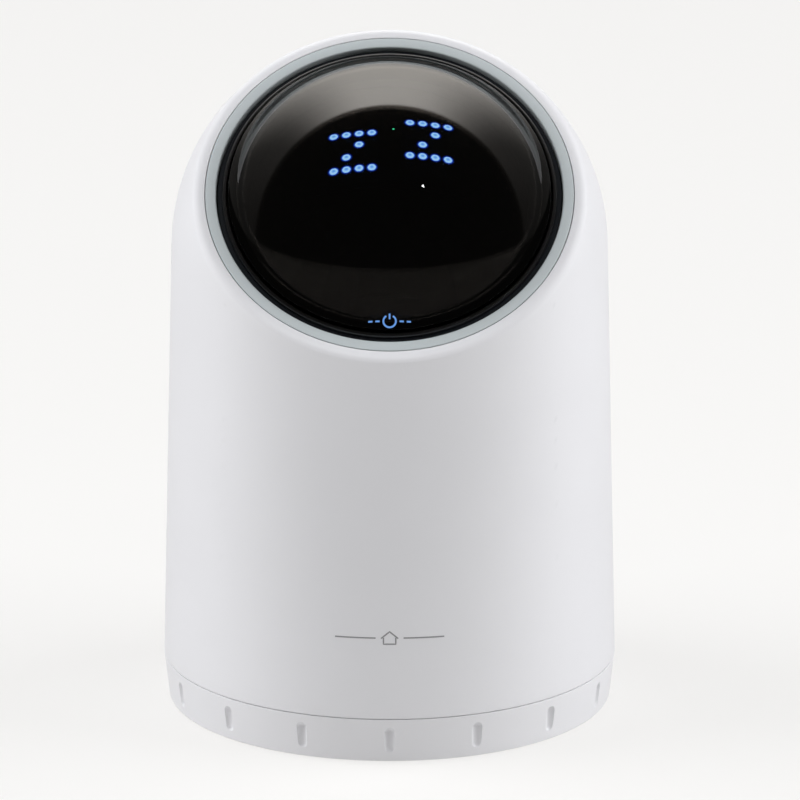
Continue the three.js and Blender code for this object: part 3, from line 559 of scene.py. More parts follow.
def add_bump(material, height, depth):
    """Bump of a height that runs from 0 to 1; depth is in millimetres."""
    bump = add_node(material.node_tree, "ShaderNodeBump", Height=height, Distance=depth * MM)
    drive(material, "Normal", bump.outputs["Normal"])


def vary(material, factor, socket, low, high):
    """Spreads a socket between two values, or two colours, by a 0 to 1 factor."""
    if isinstance(low, tuple):
        spread = add_node(material.node_tree, "ShaderNodeMix", Factor=factor)
        spread.data_type = "RGBA"
        spread.inputs["A"].default_value = (*low, 1)
        spread.inputs["B"].default_value = (*high, 1)
    else:
        spread = add_node(material.node_tree, "ShaderNodeMapRange", Value=factor,
                          From_Min=0.3, From_Max=0.7, To_Min=low, To_Max=high)
    drive(material, socket, spread.outputs["Result"])


def moulded(name, color, roughness, grain=2600, depth=0.012, **sockets):
    """Moulded plastic: a fine grain, with slightly uneven gloss and tone."""
    material = new_material(name, color, roughness, **sockets)
    add_bump(material, object_noise(material, grain, 3), depth)
    uneven = object_noise(material, 45, 2)
    vary(material, uneven, "Roughness", roughness - 0.03, roughness + 0.03)
    vary(material, uneven, "Base Color",
         tuple(c * 0.985 for c in color), tuple(min(1, c * 1.01) for c in color))
    return material


def metal(name, color, roughness, metallic=1.0, stretch=(1, 1, 1)):
    """Metal with fine marks, drawn out along the axis that stretch keeps small."""
    material = new_material(name, color, roughness, Metallic=metallic)
    marks = object_noise(material, 2400, 3, stretch)
    add_bump(material, marks, 0.004)
    vary(material, marks, "Roughness", roughness - 0.06, roughness + 0.08)
    return material


def woven(name, color, pitch):
    """Cloth: crossed bands in the object's own coordinates."""
    material = new_material(name, color, 0.9, Sheen_Weight=0.3)
    tree = material.node_tree
    where = add_node(tree, "ShaderNodeTexCoord").outputs["Object"]
    most = tree.nodes.new("ShaderNodeMath")
    most.operation = "MAXIMUM"
    for direction, socket in zip(("X", "Z"), most.inputs):
        band = add_node(tree, "ShaderNodeTexWave", Vector=where, Scale=0.314 / (pitch * MM))
        band.bands_direction = direction
        tree.links.new(band.outputs["Fac"], socket)
    add_bump(material, most.outputs["Value"], 0.15)
    vary(material, most.outputs["Value"], "Base Color",
         tuple(0.5 * c for c in color), tuple(1.3 * c for c in color))
    return material


WHITE = moulded("white_plastic", (0.80, 0.80, 0.825), 0.42)
BEZEL = moulded("bezel_grey", (0.53, 0.575, 0.588), 0.34, grain=3200, depth=0.006)
SEAL = moulded("seal_black", (0.010, 0.012, 0.015), 0.3, grain=2000, depth=0.003)
LIP = moulded("edge_lip", (0.15, 0.15, 0.155), 0.30, grain=2400, depth=0.002, Metallic=1.0)
FOOT = moulded("foot_rubber", (0.035, 0.035, 0.037), 0.75, grain=1500, depth=0.03)
PRINT = moulded("grey_print", (0.30, 0.30, 0.31), 0.5, depth=0.004)
SMOKE = new_material(
    "smoked_dome", (0.17, 0.155, 0.14), 0.012,
    Transmission_Weight=1.0, IOR=1.49)


def glow_material(name, strength):
    """Emission from the mesh's own glow colours."""
    material = new_material(name, (0.01, 0.01, 0.012), 0.4, Emission_Strength=strength)
    glow = add_node(material.node_tree, "ShaderNodeAttribute")
    glow.attribute_name = "glow"
    drive(material, "Emission Color", glow.outputs["Color"])
    return material


GOLD = metal("contact_gold", (0.83, 0.60, 0.24), 0.28)
LENS = moulded("light_lens", (0.30, 0.34, 0.26), 0.2, depth=0.004)
LED_BLUE = glow_material("led_blue", 6.5)
ICON_BLUE = glow_material("icon_blue", 1.0)
LED_GREEN = glow_material("led_green", 8.0)

CAD_SHAPES = {
    "frame_plastic": moulded("frame_plastic", (0.045, 0.048, 0.055), 0.55),
    "carrier_black": moulded("carrier_black", (0.010, 0.010, 0.011), 0.7, depth=0.02),
    "circuit_board": moulded("circuit_board", (0.02, 0.12, 0.06), 0.35, grain=900, depth=0.01),
    "led_circuit": moulded("led_circuit", (0.004, 0.005, 0.010), 0.5, grain=900, depth=0.01),
    "steel": metal("steel", (0.60, 0.61, 0.62), 0.3, stretch=(1, 1, 0.05)),
    "aluminium": metal("aluminium", (0.65, 0.66, 0.67), 0.35, stretch=(1, 0.05, 1)),
    "connector_black": moulded("connector_black", (0.015, 0.015, 0.016), 0.4),
    "magnet": metal("magnet", (0.2, 0.21, 0.22), 0.45),
    "cone_paper": moulded("cone_paper", (0.02, 0.02, 0.023), 0.9, grain=1200, depth=0.05),
    "surround_rubber": moulded("surround_rubber", (0.012, 0.012, 0.013), 0.7),
    "battery_foil": metal("battery_foil", (0.36, 0.39, 0.42), 0.3, metallic=0.6),
    "amber_film": moulded("amber_film", (0.48, 0.18, 0.025), 0.3),
    "screen_cloth": woven("screen_cloth", (0.03, 0.03, 0.033), 0.5),
    "seal_black": SEAL,
    "bezel_grey": BEZEL,
    "white_plastic": WHITE,
    "foot_rubber": FOOT,
    "smoked_dome": SMOKE,
}
for part in frame["record"]["subparts"]:
    data = frame["nodes"][part["node"]].data
    data.materials.clear()
    data.materials.append(CAD_SHAPES[part["material_slot"]])
# the sensor's film is black on the side that faces the dome
frame["nodes"]["touch_sensor"].data.materials[0] = CAD_SHAPES["carrier_black"]

# ---- body shell ----

shell = cut_back(body_shell_mesh(WHITE))
shade_from_field(shell)
place(shell, replaces=["body_shell"])

# ---- visor ----

BEZEL_FLANGE = STEP_RADIUS - GAP
BEZEL_BACK = -5.8
FLANGE_FACE = -FLANGE_TOP + GAP
BEZEL_EDGE = BEZEL_OUTER + 0.17          # leaves a hairline round the ring
place(lathe("hub_bezel", rounded([
    (BEZEL_INNER, 0, 0.4), (BEZEL_EDGE, 0.05, 0.12), (BEZEL_EDGE, -STEP_DEPTH - GAP, 0),
    (BEZEL_FLANGE, -STEP_DEPTH - GAP, 0), (BEZEL_FLANGE, BEZEL_BACK, 0.2),
    (FLANGE_RADIUS + 0.4, BEZEL_BACK, 0.2), (FLANGE_RADIUS + 0.4, FLANGE_FACE, 0),
    (BEZEL_INNER, FLANGE_FACE, 0.2),
]), BEZEL, 256, visor=True), replaces=["visor_bezel"])

SEAL_INNER = DOME_RADIUS * math.sin(DOME_HALF_ANGLE) + GAP
SEAL_TOP = -1.3
LIP_TOP = -0.1
LIP_FOOT = SEAL_TOP + 0.02
place(lathe("hub_gasket", rounded([
    (SEAL_INNER, SEAL_TOP, 0.2), (BEZEL_INNER - GAP, SEAL_TOP, 0.2),
    (BEZEL_INNER - GAP, FLANGE_FACE, 0), (SEAL_INNER, FLANGE_FACE, 0),
], 5), SEAL, 256, visor=True), replaces=["visor_gasket"])

# a thin polished lip between the dome's edge and the gasket's groove
place(lathe("dome_lip", rounded([
    (SEAL_INNER - 0.1, LIP_FOOT, 0), (SEAL_INNER - 0.1, LIP_TOP, 0.45),
    (SEAL_INNER + 1.0, LIP_TOP, 0.6), (SEAL_INNER + 1.0, LIP_FOOT, 0),
], 6), LIP, 256, visor=True))


def dome_outline():
    """The dome's outer surface, a round cap whose outermost part flares a little,
    and its whole section."""
    inner_radius = DOME_RADIUS - DOME_THICKNESS
    rim = DOME_RADIUS * math.sin(DOME_HALF_ANGLE)
    foot = -FLANGE_TOP - FLANGE_THICKNESS
    inner_angle = math.acos((-1 - DOME_CENTRE) / inner_radius)
    cap = arc(DOME_RADIUS, DOME_CENTRE, 0, FLARE_START, 52)
    across = np.linspace(cap[-1, 0], rim - FLARE_EDGE, 15)[1:]
    share = (across - cap[-1, 0]) / (rim - FLARE_EDGE - cap[-1, 0])
    slopes = np.tan(FLARE_START + (FLARE_END - FLARE_START) * share)
    steps = np.diff(np.concatenate([[cap[-1, 0]], across]))
    flare = np.stack([across, cap[-1, 1] - np.cumsum(steps * slopes)], 1)
    turn = np.linspace(FLARE_END, math.pi / 2, 6)[1:]
    top = flare[-1]
    edge = np.stack([top[0] + FLARE_EDGE * (np.sin(turn) - math.sin(FLARE_END)),
                     top[1] - FLARE_EDGE * (math.cos(FLARE_END) - np.cos(turn))], 1)
    outer = edge[-1, 0]
    outside = np.vstack([cap, flare, edge])
    return outside, np.vstack([
        outside,
        [(outer, -FLANGE_TOP), (FLANGE_RADIUS, -FLANGE_TOP), (FLANGE_RADIUS, foot),
         (inner_radius * math.sin(inner_angle), foot)],
        arc(inner_radius, DOME_CENTRE, inner_angle, 0, 40)])


dome_surface, dome_section = dome_outline()
place(lathe("hub_dome", dome_section, SMOKE, 192, open_ends=True, visor=True),
      replaces=["visor_dome"])


def on_visor_sphere(across, up, radius):
    """Points at x = across and y = up, in millimetres, on a sphere round the
    dome's own centre."""
    across, up = np.asarray(across, float), np.asarray(up, float)
    out = DOME_CENTRE + np.sqrt(radius ** 2 - across ** 2 - up ** 2)
    return np.stack([across, up, out], -1)


# one dot's rings: share of its radius, height, and glow colour. The rings past the dot's edge
# (share over 1) lie almost on the board and paint the LED's halo of light onto it, fading to black
SKY, CORE = (0.32, 0.62, 1.0), (0.10, 0.32, 0.85)
DOT_RINGS = [
    (0.22, 0.24, CORE), (0.42, 0.22, (0.20, 0.46, 0.95)), (0.66, 0.16, SKY),
    (0.92, 0.06, (0.26, 0.56, 1.0)), (1.04, 0.03, (0.012, 0.08, 0.62)),
    (1.22, 0.02, (0.001, 0.012, 0.17)), (1.50, 0.01, (0, 0, 0)),
]
DOT_WIDE, DOT_HIGH = 1.0, 0.82
LED_PITCH = 3.0
LED_COLUMN_SHIFT = -1.2
LED_ROW_ANGLE = 4.6
LED_TOP_ANGLE = 13.4
LED_ROW_RADIUS = 41


def set_glow(obj, colors):
    layer = obj.data.color_attributes.new("glow", "FLOAT_COLOR", "POINT")
    layer.data.foreach_set("color", [c for color in colors for c in (*color, 1.0)])
    return obj


def led_dots(name, centres, size, colors, material):
    """Low round domes on the LED board, each ring with its own glow; the outer rings paint a
    glowing halo of the LED's light onto the board round each dot.
    """
    segments = 24
    points, faces, glow = [], [], []
    for x, y in centres:
        start = len(points)
        points.append(on_visor_sphere(x, y, LED_BOARD_RADIUS + 0.3 + 0.25 * size))
        glow.append(colors[0][2])
        for share, height, color in colors:
            turn = 2 * math.pi * (np.arange(segments) + 0.5) / segments
            # a rounded hexagon inside, a circle outside
            corner = 1 + (0.05 * np.cos(6 * turn) if share < 1 else 0)
            ring = on_visor_sphere(
                x + DOT_WIDE * size * share * corner * np.cos(turn),
                y + DOT_HIGH * size * share * corner * np.sin(turn),
                LED_BOARD_RADIUS + 0.3 + height * size)
            points.extend(ring)
            glow.extend([color] * segments)
        points.append(on_visor_sphere(x, y, LED_BOARD_RADIUS + 0.2))
        glow.append((0, 0, 0))
        rings = len(colors)
        for i in range(segments):
            k = (i + 1) % segments
            faces.append((start, start + 1 + i, start + 1 + k))
            for j in range(rings - 1):
                a = start + 1 + j * segments
                faces.append((a + i, a + segments + i, a + segments + k, a + k))
            edge = start + 1 + (rings - 1) * segments
            faces.append((edge + k, edge + i, start + 1 + rings * segments))
    obj = make_mesh(name, to_world(points), faces, material)
    return set_glow(obj, glow)


def led_centre(column, row):
    """A dot's place in the visor's frame, by its column and row in the matrix."""
    angle = math.radians(LED_TOP_ANGLE - LED_ROW_ANGLE * row)
    return (LED_COLUMN_SHIFT + LED_PITCH * column, LED_ROW_RADIUS * math.sin(angle))


sleep_sign = []
for left, top in ((2, 0), (-4, 1)):
    sleep_sign += [led_centre(left + i, top) for i in range(4)]
    sleep_sign += [led_centre(left + 2, top + 1), led_centre(left + 1, top + 2)]
    sleep_sign += [led_centre(left + i, top + 3) for i in range(4)]
place(led_dots("led_dots", sleep_sign, 1.0, DOT_RINGS, LED_BLUE))
# past share 1 the green glow fades out over the board: a painted halo of light round the dot
GREEN_RINGS = [(0.5, 0.2, (0.05, 0.8, 0.4)), (1.0, 0.05, (0.02, 0.4, 0.2)), (1.6, 0.01, (0, 0, 0))]
place(led_dots("status_led", [led_centre(0.7, 0.7)], 0.22, GREEN_RINGS, LED_GREEN))


def strips(name, paths, width, thickness, place_point, material, glow=None):
    """Closed flat strips along (a, b) paths; place_point puts (a, b, height) on
    a surface."""
    points, faces = [], []
    for path in paths:
        path = np.array(path, float)
        dense = [path[0]]
        for here, there in zip(path[:-1], path[1:]):
            pieces = max(1, math.ceil(np.linalg.norm(there - here) / 0.5))
            dense.extend(here + (there - here) * k / pieces for k in range(1, pieces + 1))
        path = np.array(dense)
        along = np.gradient(path, axis=0)
        along /= np.linalg.norm(along, axis=1, keepdims=True)
        side = np.column_stack([-along[:, 1], along[:, 0]]) * width / 2
        start = len(points)
        for middle, out in zip(path, side):
            for sign, height in ((1, 0), (1, thickness), (-1, thickness), (-1, 0)):
                points.append(place_point(*(middle + sign * out), height))
        faces += bar_faces(len(path), start)
    obj = make_mesh(name, points, faces, material)
    return set_glow(obj, [glow] * len(points)) if glow else obj


def circle_path(radius, start, end, steps=28):
    angles = np.radians(np.linspace(start, end, steps + 1))
    return [(radius * math.cos(a), radius * math.sin(a)) for a in angles]


ICON_REACH = 44.1        # from the dome's top to the icon, along the surface
dome_reach = np.concatenate([[0], np.cumsum(np.hypot(*np.diff(dome_surface, axis=0).T))])


def on_dome(a, b, height):
    """Across and up the dome from the icon's middle, just above its surface."""
    down = np.interp(ICON_REACH - b, dome_reach, dome_surface[:, 0])
    out = np.interp(math.hypot(a, down), dome_surface[:, 0], dome_surface[:, 1])
    return to_world([a, -down, out + 0.05 + 1.5 * height])


place(strips("touch_icon", [
    circle_path(1.5, 122, 418), [(0, 0.5), (0, 1.9)],
    [(-5.1, 0), (-4.1, 0)], [(-3.4, 0), (-2.4, 0)], [(2.4, 0), (3.4, 0)], [(4.1, 0), (5.1, 0)],
], 0.42, 0.03, on_dome, ICON_BLUE, glow=(0.13, 0.31, 0.72)))


def on_body_front(a, z, height):
    angle = a / cone_radius(z, HEAD_RADIUS)
    radius = cone_radius(z, HEAD_RADIUS) - front_lean(angle, z) + 0.01 + height
    return (radius * math.sin(angle), -radius * math.cos(angle), z)


MARK_Z = 31.6
MARK = [
    [(-13.4, 0), (-3.4, 0)], [(3.4, 0), (13.4, 0)],
    [(-1.5, 0.1), (-1.5, -1.5), (1.5, -1.5), (1.5, 0.1)],
    [(-2.1, -0.1), (0, 1.6), (2.1, -0.1)],
]
place(strips("front_mark", [[(a, MARK_Z + b) for a, b in path] for path in MARK],
             0.34, 0.03, on_body_front, PRINT))

# ---- base cup with its grip notches ----

NOTCH_COLUMNS = [0, 0.3, 0.58, 0.82, 1.0, 1.13, 1.22, 1.28, 1.32, 1.35, 1.38, 1.43, 1.52, 1.7,
                 2.1, 3.2, 5.0, 7.2, 9.4]


def base_columns():
    """Angles from the front, denser at each notch's edges."""
    pitch = 2 * math.pi / NOTCH_COUNT
    offsets = [u / BASE_TOP_RADIUS for u in NOTCH_COLUMNS]
    offsets = sorted([-o for o in offsets[1:]] + offsets + [pitch / 2])
    return np.array([n * pitch + o for n in range(NOTCH_COUNT) for o in offsets])


def base_cup_mesh(material):
    """The base's cup, its section turned round with a notch cut in at each pitch."""
    angles = base_columns()
    pitch = 2 * math.pi / NOTCH_COUNT
    off = (angles + pitch / 2) % pitch - pitch / 2
    floor = BASE_BOTTOM + BASE_FLOOR
    slope = (BASE_TOP_RADIUS - BASE_LOW_RADIUS) / (BASE_TOP - BASE_BOTTOM - BASE_EDGE)
    heights = np.concatenate([
        np.linspace(BASE_BOTTOM + BASE_EDGE, 2.0, 5), np.linspace(2.15, 3.7, 15),
        np.linspace(4.0, 7.4, 11), np.linspace(7.6, 9.1, 15), np.linspace(9.4, 10.7, 5)])
    low_corner = (BASE_LOW_RADIUS - BASE_EDGE, BASE_BOTTOM + BASE_EDGE)
    groove_inner, groove_outer = FOOT_INNER - GAP, FOOT_OUTER + GAP
    groove_top = FOOT_HEIGHT + GAP
    outline = [(groove_inner, BASE_BOTTOM), (groove_inner, groove_top),
               (groove_outer, groove_top), (groove_outer, BASE_BOTTOM)]
    outline += [(low_corner[0] + BASE_EDGE * math.sin(a), low_corner[1] - BASE_EDGE * math.cos(a))
                for a in np.linspace(0, math.pi / 2, 6)[:-1]]
    outline += [(BASE_LOW_RADIUS + slope * (z - BASE_BOTTOM - BASE_EDGE), z) for z in heights]
    edge = 0.15
    lip_top = BASE_TOP + SEAM_FILL
    blend = 0.14                         # size of the notch's rounded edge
    clear = BASE_TOP_RADIUS + 4          # where a column has no notch
    top = (BASE_TOP_RADIUS - edge, lip_top - edge)
    outline += [(top[0] + edge * math.cos(a), top[1] + edge * math.sin(a))
                for a in np.linspace(0.12, math.pi / 2, 5)]
    outline += [(BASE_TOP_RADIUS - BASE_WALL, lip_top), (BASE_LOW_RADIUS - 2.2, floor)]
    rows = []
    for r, z in outline:
        radius = np.full(len(angles), float(r))
        if r > 50 and z > 1:
            across = np.abs(np.sin(off)) * r
            past_end = max(0, z - NOTCH_TOP + NOTCH_RADIUS, NOTCH_LOW + NOTCH_RADIUS - z)
            reach = NOTCH_RADIUS ** 2 - across ** 2 - past_end ** 2
            wall = NOTCH_FLOOR + NOTCH_RADIUS - np.sqrt(np.maximum(reach, 0))
            wall = np.where(reach > 0, wall, clear)
            h = np.clip(0.5 + 0.5 * (wall - radius) / blend, 0, 1)
            if z < BASE_TOP - 1 and r < BASE_TOP_RADIUS:
                radius = wall * (1 - h) + radius * h - blend * h * (1 - h)
        rows.append(np.stack([radius * np.sin(angles), -radius * np.cos(angles),
                              np.full(len(angles), z)], 1))
    points = np.array(rows).reshape(-1, 3)
    points, faces = capped(
        points, grid_faces(len(rows), len(angles)), len(rows), len(angles), BASE_BOTTOM, floor)
    return make_mesh("hub_base", points, faces, material, sharp=50)


place(base_cup_mesh(WHITE), "base", ["base_cup"])

place(lathe("foot_pad", rounded([
    (FOOT_INNER, 0, 0.35), (FOOT_OUTER, 0, 0.35), (FOOT_OUTER, FOOT_HEIGHT, 0.2),
    (FOOT_INNER, FOOT_HEIGHT, 0.2)]), FOOT, 160), "base", ["foot_ring"])

# ---- rear port panel ----

JACK_X, USB_X, USB_Z = 8, -10, 22.95
PORT_FRONT = PANEL_FACE - GAP
PORT_MARGIN = 0.4        # of the panel's holes round the jack and the inlet
JACK_BACK, PLUG_BACK, LATCH_BACK = 35.4, 38.6, 40.6
PLUG_LOW, PLUG_HIGH, LATCH_HIGH = 23.8, 31, 33.2
INLET_BACK, MOUTH_BACK = 43.5, 44.6
TONGUE_HALF = 0.35
PAIR_BUTTON, PAIR_RADIUS, PAIR_FRONT = (-10, 35.5), 3.85, PANEL_FACE + 1.2
RESET_BUTTON, RESET_RADIUS, RESET_FRONT = (8, 39.8), 1.6, PANEL_FACE - 0.5
PANEL_SCREWS = [(-19.4, 40.9), (19.4, 21.1)]
SCREW_HOLE, HEAD_HOLE, HEAD_DEPTH = 1.3, 2.1, 1.1
BUTTON_BACK = 48


def disc(x, z, radius, segments=64):
    """A circle, as a function of how far it grows."""
    turn = 2 * math.pi * np.arange(segments) / segments
    return lambda grow=0.0: np.stack([
        x + (radius + grow) * np.cos(turn), z + (radius + grow) * np.sin(turn)], 1)


def block(outline_at, back, front, edge):
    """A body from back to front whose front edge is rounded; outline_at(grow)
    gives its outline."""
    turn = np.linspace(0, math.pi / 2, 5)
    outlines = [outline_at(0)] + [outline_at(-edge * (1 - math.cos(a))) for a in turn]
    depths = [back] + [front - edge * (1 - math.sin(a)) for a in turn]
    return loft(outlines, depths)


def cut_hole(obj, outline_at, back, front, chamfer):
    """Cuts a hole that opens out at the front face."""
    points, faces = loft(
        [outline_at(0), outline_at(0), outline_at(2 * chamfer), outline_at(2 * chamfer)],
        [back, front - chamfer, front + chamfer, front + 3])
    return boolean(obj, make_mesh("hole", points, faces, None))


def turned_y(name, outline, x, z, material, segments=64):
    """An (r, y) outline turned round an axis along Y."""
    points, faces = lathe_points(outline, segments, open_ends=True)
    across, up, along = points.T
    return make_mesh(name, np.stack([x + across, along, z + up], 1), faces, material)


def jack_outline(margin=0.0):
    return pane(JACK_X, 8, 21.3, 34.9, 0.3, margin)


def inlet_outline(margin=0.0):
    return pane(USB_X, 4.6, USB_Z - 1.65, USB_Z + 1.65, 1.6, margin, 10)


def port_panel():
    panel = make_mesh("port_panel", *block(
        pane(0, BAY_HALF_WIDTH, BAY_LOW, BAY_HIGH, 1.0 + GAP, -GAP),
        PANEL_BACK, PANEL_FACE, 0.3), BEZEL)
    through = PANEL_BACK - 1
    openings = [
        (jack_outline(PORT_MARGIN), through, 0.25), (inlet_outline(PORT_MARGIN), through, 0.3),
        (disc(*PAIR_BUTTON, PAIR_RADIUS + GAP), through, 0.25),
        (disc(*RESET_BUTTON, RESET_RADIUS + GAP, 40), through, 0.2),
    ]
    for centre in PANEL_SCREWS:
        openings.append((disc(*centre, SCREW_HOLE, 32), through, 0.02))
        openings.append((disc(*centre, HEAD_HOLE, 40), PANEL_FACE - HEAD_DEPTH, 0.15))
    for outline_at, start, chamfer in openings:
        cut_hole(panel, outline_at, start, PANEL_FACE, chamfer)
    return crisp(panel)


place(port_panel(), replaces=["rear_port_panel"])

jack = make_mesh("network_jack", *block(jack_outline(), JACK_BACK, PORT_FRONT, 0.2),
                 CAD_SHAPES["connector_black"])
for half, low, high, back, chamfer in (
        (5.9, PLUG_LOW, PLUG_HIGH, PLUG_BACK, 0.3),
        (3, PLUG_HIGH - 1, LATCH_HIGH, PLUG_BACK, 0.3),
        (2, LATCH_HIGH - 1, LATCH_HIGH + 0.8, LATCH_BACK, 0.15)):
    cut_hole(jack, pane(JACK_X, half, low, high, 0.2), back, PORT_FRONT, chamfer)
place(crisp(jack), replaces=["ethernet_jack"])

# eight spring contacts, which rise from the jack's mouth towards its back
CONTACT_PITCH, CONTACT_HALF, CONTACT_THICKNESS = 1.02, 0.22, 0.3
CONTACT_PATH = [(49.4, PLUG_LOW + 0.2), (48.6, PLUG_LOW + 0.35), (42.5, 26.6), (41.6, 26.9),
                (PLUG_BACK + 0.1, 27.0)]
contact_points, contact_faces = [], []
for i in range(8):
    x = JACK_X + (i - 3.5) * CONTACT_PITCH
    start = len(contact_points)
    for y, z in CONTACT_PATH:
        contact_points += [(x + side * CONTACT_HALF, y, z + rise) for side, rise in (
            (-1, 0), (1, 0), (1, CONTACT_THICKNESS), (-1, CONTACT_THICKNESS))]
    contact_faces += bar_faces(len(CONTACT_PATH), start)
place(make_mesh("jack_contacts", contact_points, contact_faces, GOLD))

for name, middle in (("jack_light_left", JACK_X - 5.4), ("jack_light_right", JACK_X + 5.4)):
    place(make_mesh(name, *block(pane(middle, 1.5, 32.1, 34.1, 0.4),
                                 PORT_FRONT - 0.6, PORT_FRONT + 0.12, 0.15), LENS))

usb = make_mesh("usb_inlet", *block(inlet_outline(), INLET_BACK, PORT_FRONT, 0.12),
                CAD_SHAPES["steel"])
cut_hole(usb, inlet_outline(-0.4), MOUTH_BACK, PORT_FRONT, 0.08)
place(crisp(usb), replaces=["usb_c_inlet"])
place(make_mesh("usb_tongue", *block(
    pane(USB_X, 3.3, USB_Z - TONGUE_HALF, USB_Z + TONGUE_HALF, 0.15),
    MOUTH_BACK - 0.4, PORT_FRONT - 0.8, 0.12), CAD_SHAPES["connector_black"]))
pads = [[(USB_X + (i - 5.5) * 0.5, y) for y in (MOUTH_BACK + 0.6, PORT_FRONT - 1.3)]
        for i in range(12)]
place(strips("usb_pads", pads, 0.26, 0.03, lambda a, b, height: (
    a, b, USB_Z + TONGUE_HALF - 0.005 + height), GOLD))


def push_button(name, centre, radius, front, flange, dish, node):
    """A button's cap with a round edge and a slightly hollow face."""
    inner = PANEL_BACK - GAP
    edge = min(0.45, radius * 0.3)
    face = [(r, front - dish * (1 - (r / (radius - edge)) ** 2))
            for r in np.linspace(0, radius - edge, 8)]
    corner = [(radius - edge + edge * math.sin(a), front - edge * (1 - math.cos(a)))
              for a in np.linspace(0, math.pi / 2, 7)[1:]]
    cap = turned_y(name, face + corner + [
        (radius, inner + 0.1), (flange - 0.1, inner), (flange, inner - 0.1),
        (flange, BUTTON_BACK + 0.1), (flange - 0.1, BUTTON_BACK), (0, BUTTON_BACK)],
        *centre, WHITE)
    place(cap, node, [node])


push_button("pair_cap", PAIR_BUTTON, PAIR_RADIUS, PAIR_FRONT, 5.2, 0.25, "pair_button")
push_button("reset_cap", RESET_BUTTON, RESET_RADIUS, RESET_FRONT, 2.6, 0.1, "reset_button")


def screw(name, x, z, node):
    """A small panel screw with a cross recess."""
    piece = turned_y(name, [
        (0, 45.6), (0.7, 45.6), (1, 46), (1, 50.4), (1.7, 50.4), (1.8, 50.5), (1.8, 50.85),
        (1.7, 51.0), (1.3, 51.12), (0.7, 51.19), (0, 51.2)], x, z, CAD_SHAPES["steel"], 48)
    square = np.array([(-1, -1), (1, -1), (1, 1), (-1, 1)])
    for turn in (20, 110):
        spin = np.array(Matrix.Rotation(math.radians(turn), 2))
        tip, arm = (square * half @ spin.T + (x, z) for half in ((0.5, 0.16), (1.3, 0.3)))
        points, faces = loft([tip, arm], [50.55, 51.5])
        boolean(piece, make_mesh("recess", points, faces, None))
    place(crisp(piece), replaces=[node])


for i, (x, z) in enumerate(PANEL_SCREWS):
    screw(f"panel_screw_head_{i + 1}", x, z, f"panel_screw_{i + 1}")


def on_panel(a, b, height):
    return (a, PANEL_FACE + 0.005 + height, b)


def at(x, z, paths):
    return [[(x + a, z + b) for a, b in path] for path in paths]


POWER_MARK = at(-10, 28.0, [[(-1.9, 0.35), (1.9, 0.35)], [(-1.9, -0.35), (-1.1, -0.35)],
                            [(-0.4, -0.35), (0.4, -0.35)], [(1.1, -0.35), (1.9, -0.35)]])
PAIR_MARK = at(-16.3, 35.5, [circle_path(0.55, 0, 350, steps=16), circle_path(1.3, -50, 50),
                             circle_path(1.3, 130, 230)])
NETWORK_MARK = at(-3.2, 31.2, [
    [(-0.55, 1.7), (0.55, 1.7), (0.55, 0.8), (-0.55, 0.8), (-0.55, 1.82)], [(0, 0.7), (0, 0.1)],
    [(-1.3, -0.7), (-1.3, 0), (1.3, 0), (1.3, -0.7)],
    [(-1.85, -0.8), (-0.75, -0.8), (-0.75, -1.7), (-1.85, -1.7), (-1.85, -0.68)],
    [(0.75, -0.8), (1.85, -0.8), (1.85, -1.7), (0.75, -1.7), (0.75, -0.68)]])
place(strips("port_marks", POWER_MARK + PAIR_MARK + NETWORK_MARK, 0.24, 0.02, on_panel, PRINT))

# ---- stage ----

FLOOR_SIZE = 30          # metres from the middle to each side
FLOOR_Z = -0.00005       # clear of the foot pad, so the two never share a plane
floor_mesh = bpy.data.meshes.new("floor")
floor_mesh.from_pydata(
    [(x * FLOOR_SIZE, y * FLOOR_SIZE, FLOOR_Z) for x, y in ((-1, -1), (1, -1), (1, 1), (-1, 1))],
    [], [(0, 1, 2, 3)])
floor = new_object("floor", floor_mesh)
floor_material = new_material(
    "floor", (0.36, 0.3564, 0.3505), 0.9,
    Emission_Color=(1.0, 0.99, 0.975, 1), Emission_Strength=0.56, Specular_IOR_Level=0.0)
vary(floor_material, object_noise(floor_material, 3), "Base Color",
     (0.358, 0.3544, 0.3485), (0.362, 0.3584, 0.3525))
floor_mesh.materials.append(floor_material)
floor.visible_glossy = False

SKY_EDGE = 20            # degrees behind the zenith where the light starts
SKY_BLEND = 0.06
SKY_TOP = 4.4            # added overhead
SKY_BACK = 0.55
SKY_FRONT = 0.03
SKY_SIDES = (0.15, 0.75, 1.0, 0.10)      # from the middle to the sides


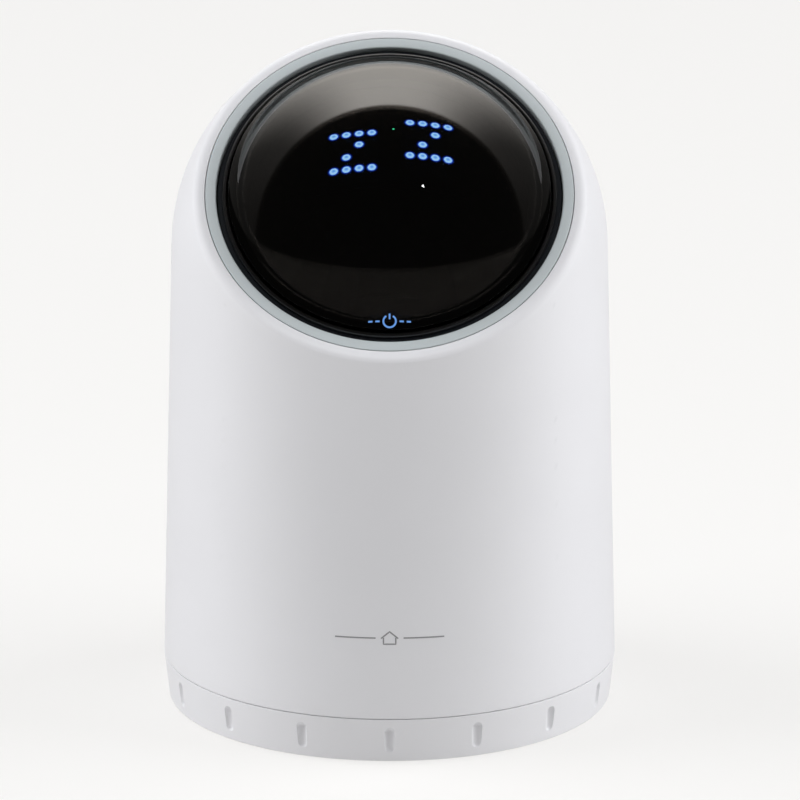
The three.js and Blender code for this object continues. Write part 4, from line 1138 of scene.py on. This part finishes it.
def sky():
    """Room light for reflections alone: it reaches from just behind the zenith
    down to the back, and is brighter overhead; the front is nearly dark."""
    world = bpy.data.worlds.new("sky")
    bpy.context.scene.world = world
    world.use_nodes = True
    world.cycles_visibility.diffuse = False
    tree = world.node_tree

    def maths(operation, *values, kind="ShaderNodeMath"):
        made = tree.nodes.new(kind)
        made.operation = operation
        for socket, value in zip(made.inputs, values):
            if isinstance(value, bpy.types.NodeSocket):
                tree.links.new(value, socket)
            else:
                socket.default_value = value
        return made.outputs["Value"]

    def smooth(value, from_min, from_max, to_min, to_max):
        made = add_node(tree, "ShaderNodeMapRange", Value=value, From_Min=from_min,
                        From_Max=from_max, To_Min=to_min, To_Max=to_max)
        made.interpolation_type = "SMOOTHSTEP"
        return made.outputs["Result"]

    direction = add_node(tree, "ShaderNodeTexCoord").outputs["Generated"]
    height = add_node(tree, "ShaderNodeSeparateXYZ", Vector=direction)
    edge = math.radians(SKY_EDGE)
    behind = maths("DOT_PRODUCT", direction, (0, math.cos(edge), -math.sin(edge)),
                   kind="ShaderNodeVectorMath")
    up = maths("MAXIMUM", height.outputs["Z"], 0.0)
    bright = maths("MULTIPLY_ADD", maths("MULTIPLY", up, up), SKY_TOP, SKY_BACK)
    sides = smooth(maths("ABSOLUTE", height.outputs["X"]), *SKY_SIDES)
    shape = maths("MULTIPLY", smooth(behind, 0, SKY_BLEND, 0, 1), sides)
    background = tree.nodes["Background"]
    background.inputs["Color"].default_value = (1, 0.965, 0.915, 1)
    tree.links.new(maths("MULTIPLY_ADD", bright, shape, SKY_FRONT), background.inputs["Strength"])


sky()


def softbox(name, location, size, power):
    """A soft light aimed at the object, which shows in no reflection."""
    light = bpy.data.lights.new(name, "AREA")
    light.shape = "RECTANGLE"
    light.size, light.size_y = size
    light.energy = power
    light.color = SOFTBOX_COLOR
    obj = new_object(name, light)
    obj.location = location
    aim = Vector((0, 0, 0.1)) - Vector(location)
    obj.rotation_euler = aim.to_track_quat("-Z", "Y").to_euler()
    obj.visible_glossy = False
    obj.visible_transmission = False


SOFTBOX_COLOR = (0.985, 0.99, 1.0)
for name, location, size, power in (
        ("overhead", (0, -0.65, 2.6), (3, 2.4), 40),
        ("above_left", (-1.3, 0.3, 2.2), (1.5, 1.5), 8),
        ("left_side", (-2.4, 0.1, 1.1), (2.4, 2.0), 50),
        ("right_side", (2.4, 0.1, 1.1), (2.4, 2.0), 60),
        ("rear", (0, 3.6, 0.8), (2.6, 1.2), 21)):
    softbox(name, location, size, power)

# a small lamp that gives the dome its one bright point
spark_data = bpy.data.lights.new("spark", "POINT")
spark_data.energy = 1.5
spark_data.shadow_soft_size = 0.03
spark = new_object("spark", spark_data)
spark.location = (0.695, -1.207, 1.70)
spark.visible_transmission = False

# ---- camera ----

TARGET = Vector((0, 0, 0.0784))
ELEVATION = math.radians(16.43)
PITCH = math.radians(16.53)
DISTANCE = 1.792
camera_data = bpy.data.cameras.new("camera")
camera_data.sensor_width = 36
camera_data.lens = 327.4
camera_data.shift_x = 0.013
camera = new_object("camera", camera_data)
camera.location = TARGET + DISTANCE * Vector((0, -math.cos(ELEVATION), math.sin(ELEVATION)))
camera.rotation_euler = (math.pi / 2 - PITCH, 0, 0)
bpy.context.scene.camera = camera
bpy.context.scene.view_settings.view_transform = "Standard"
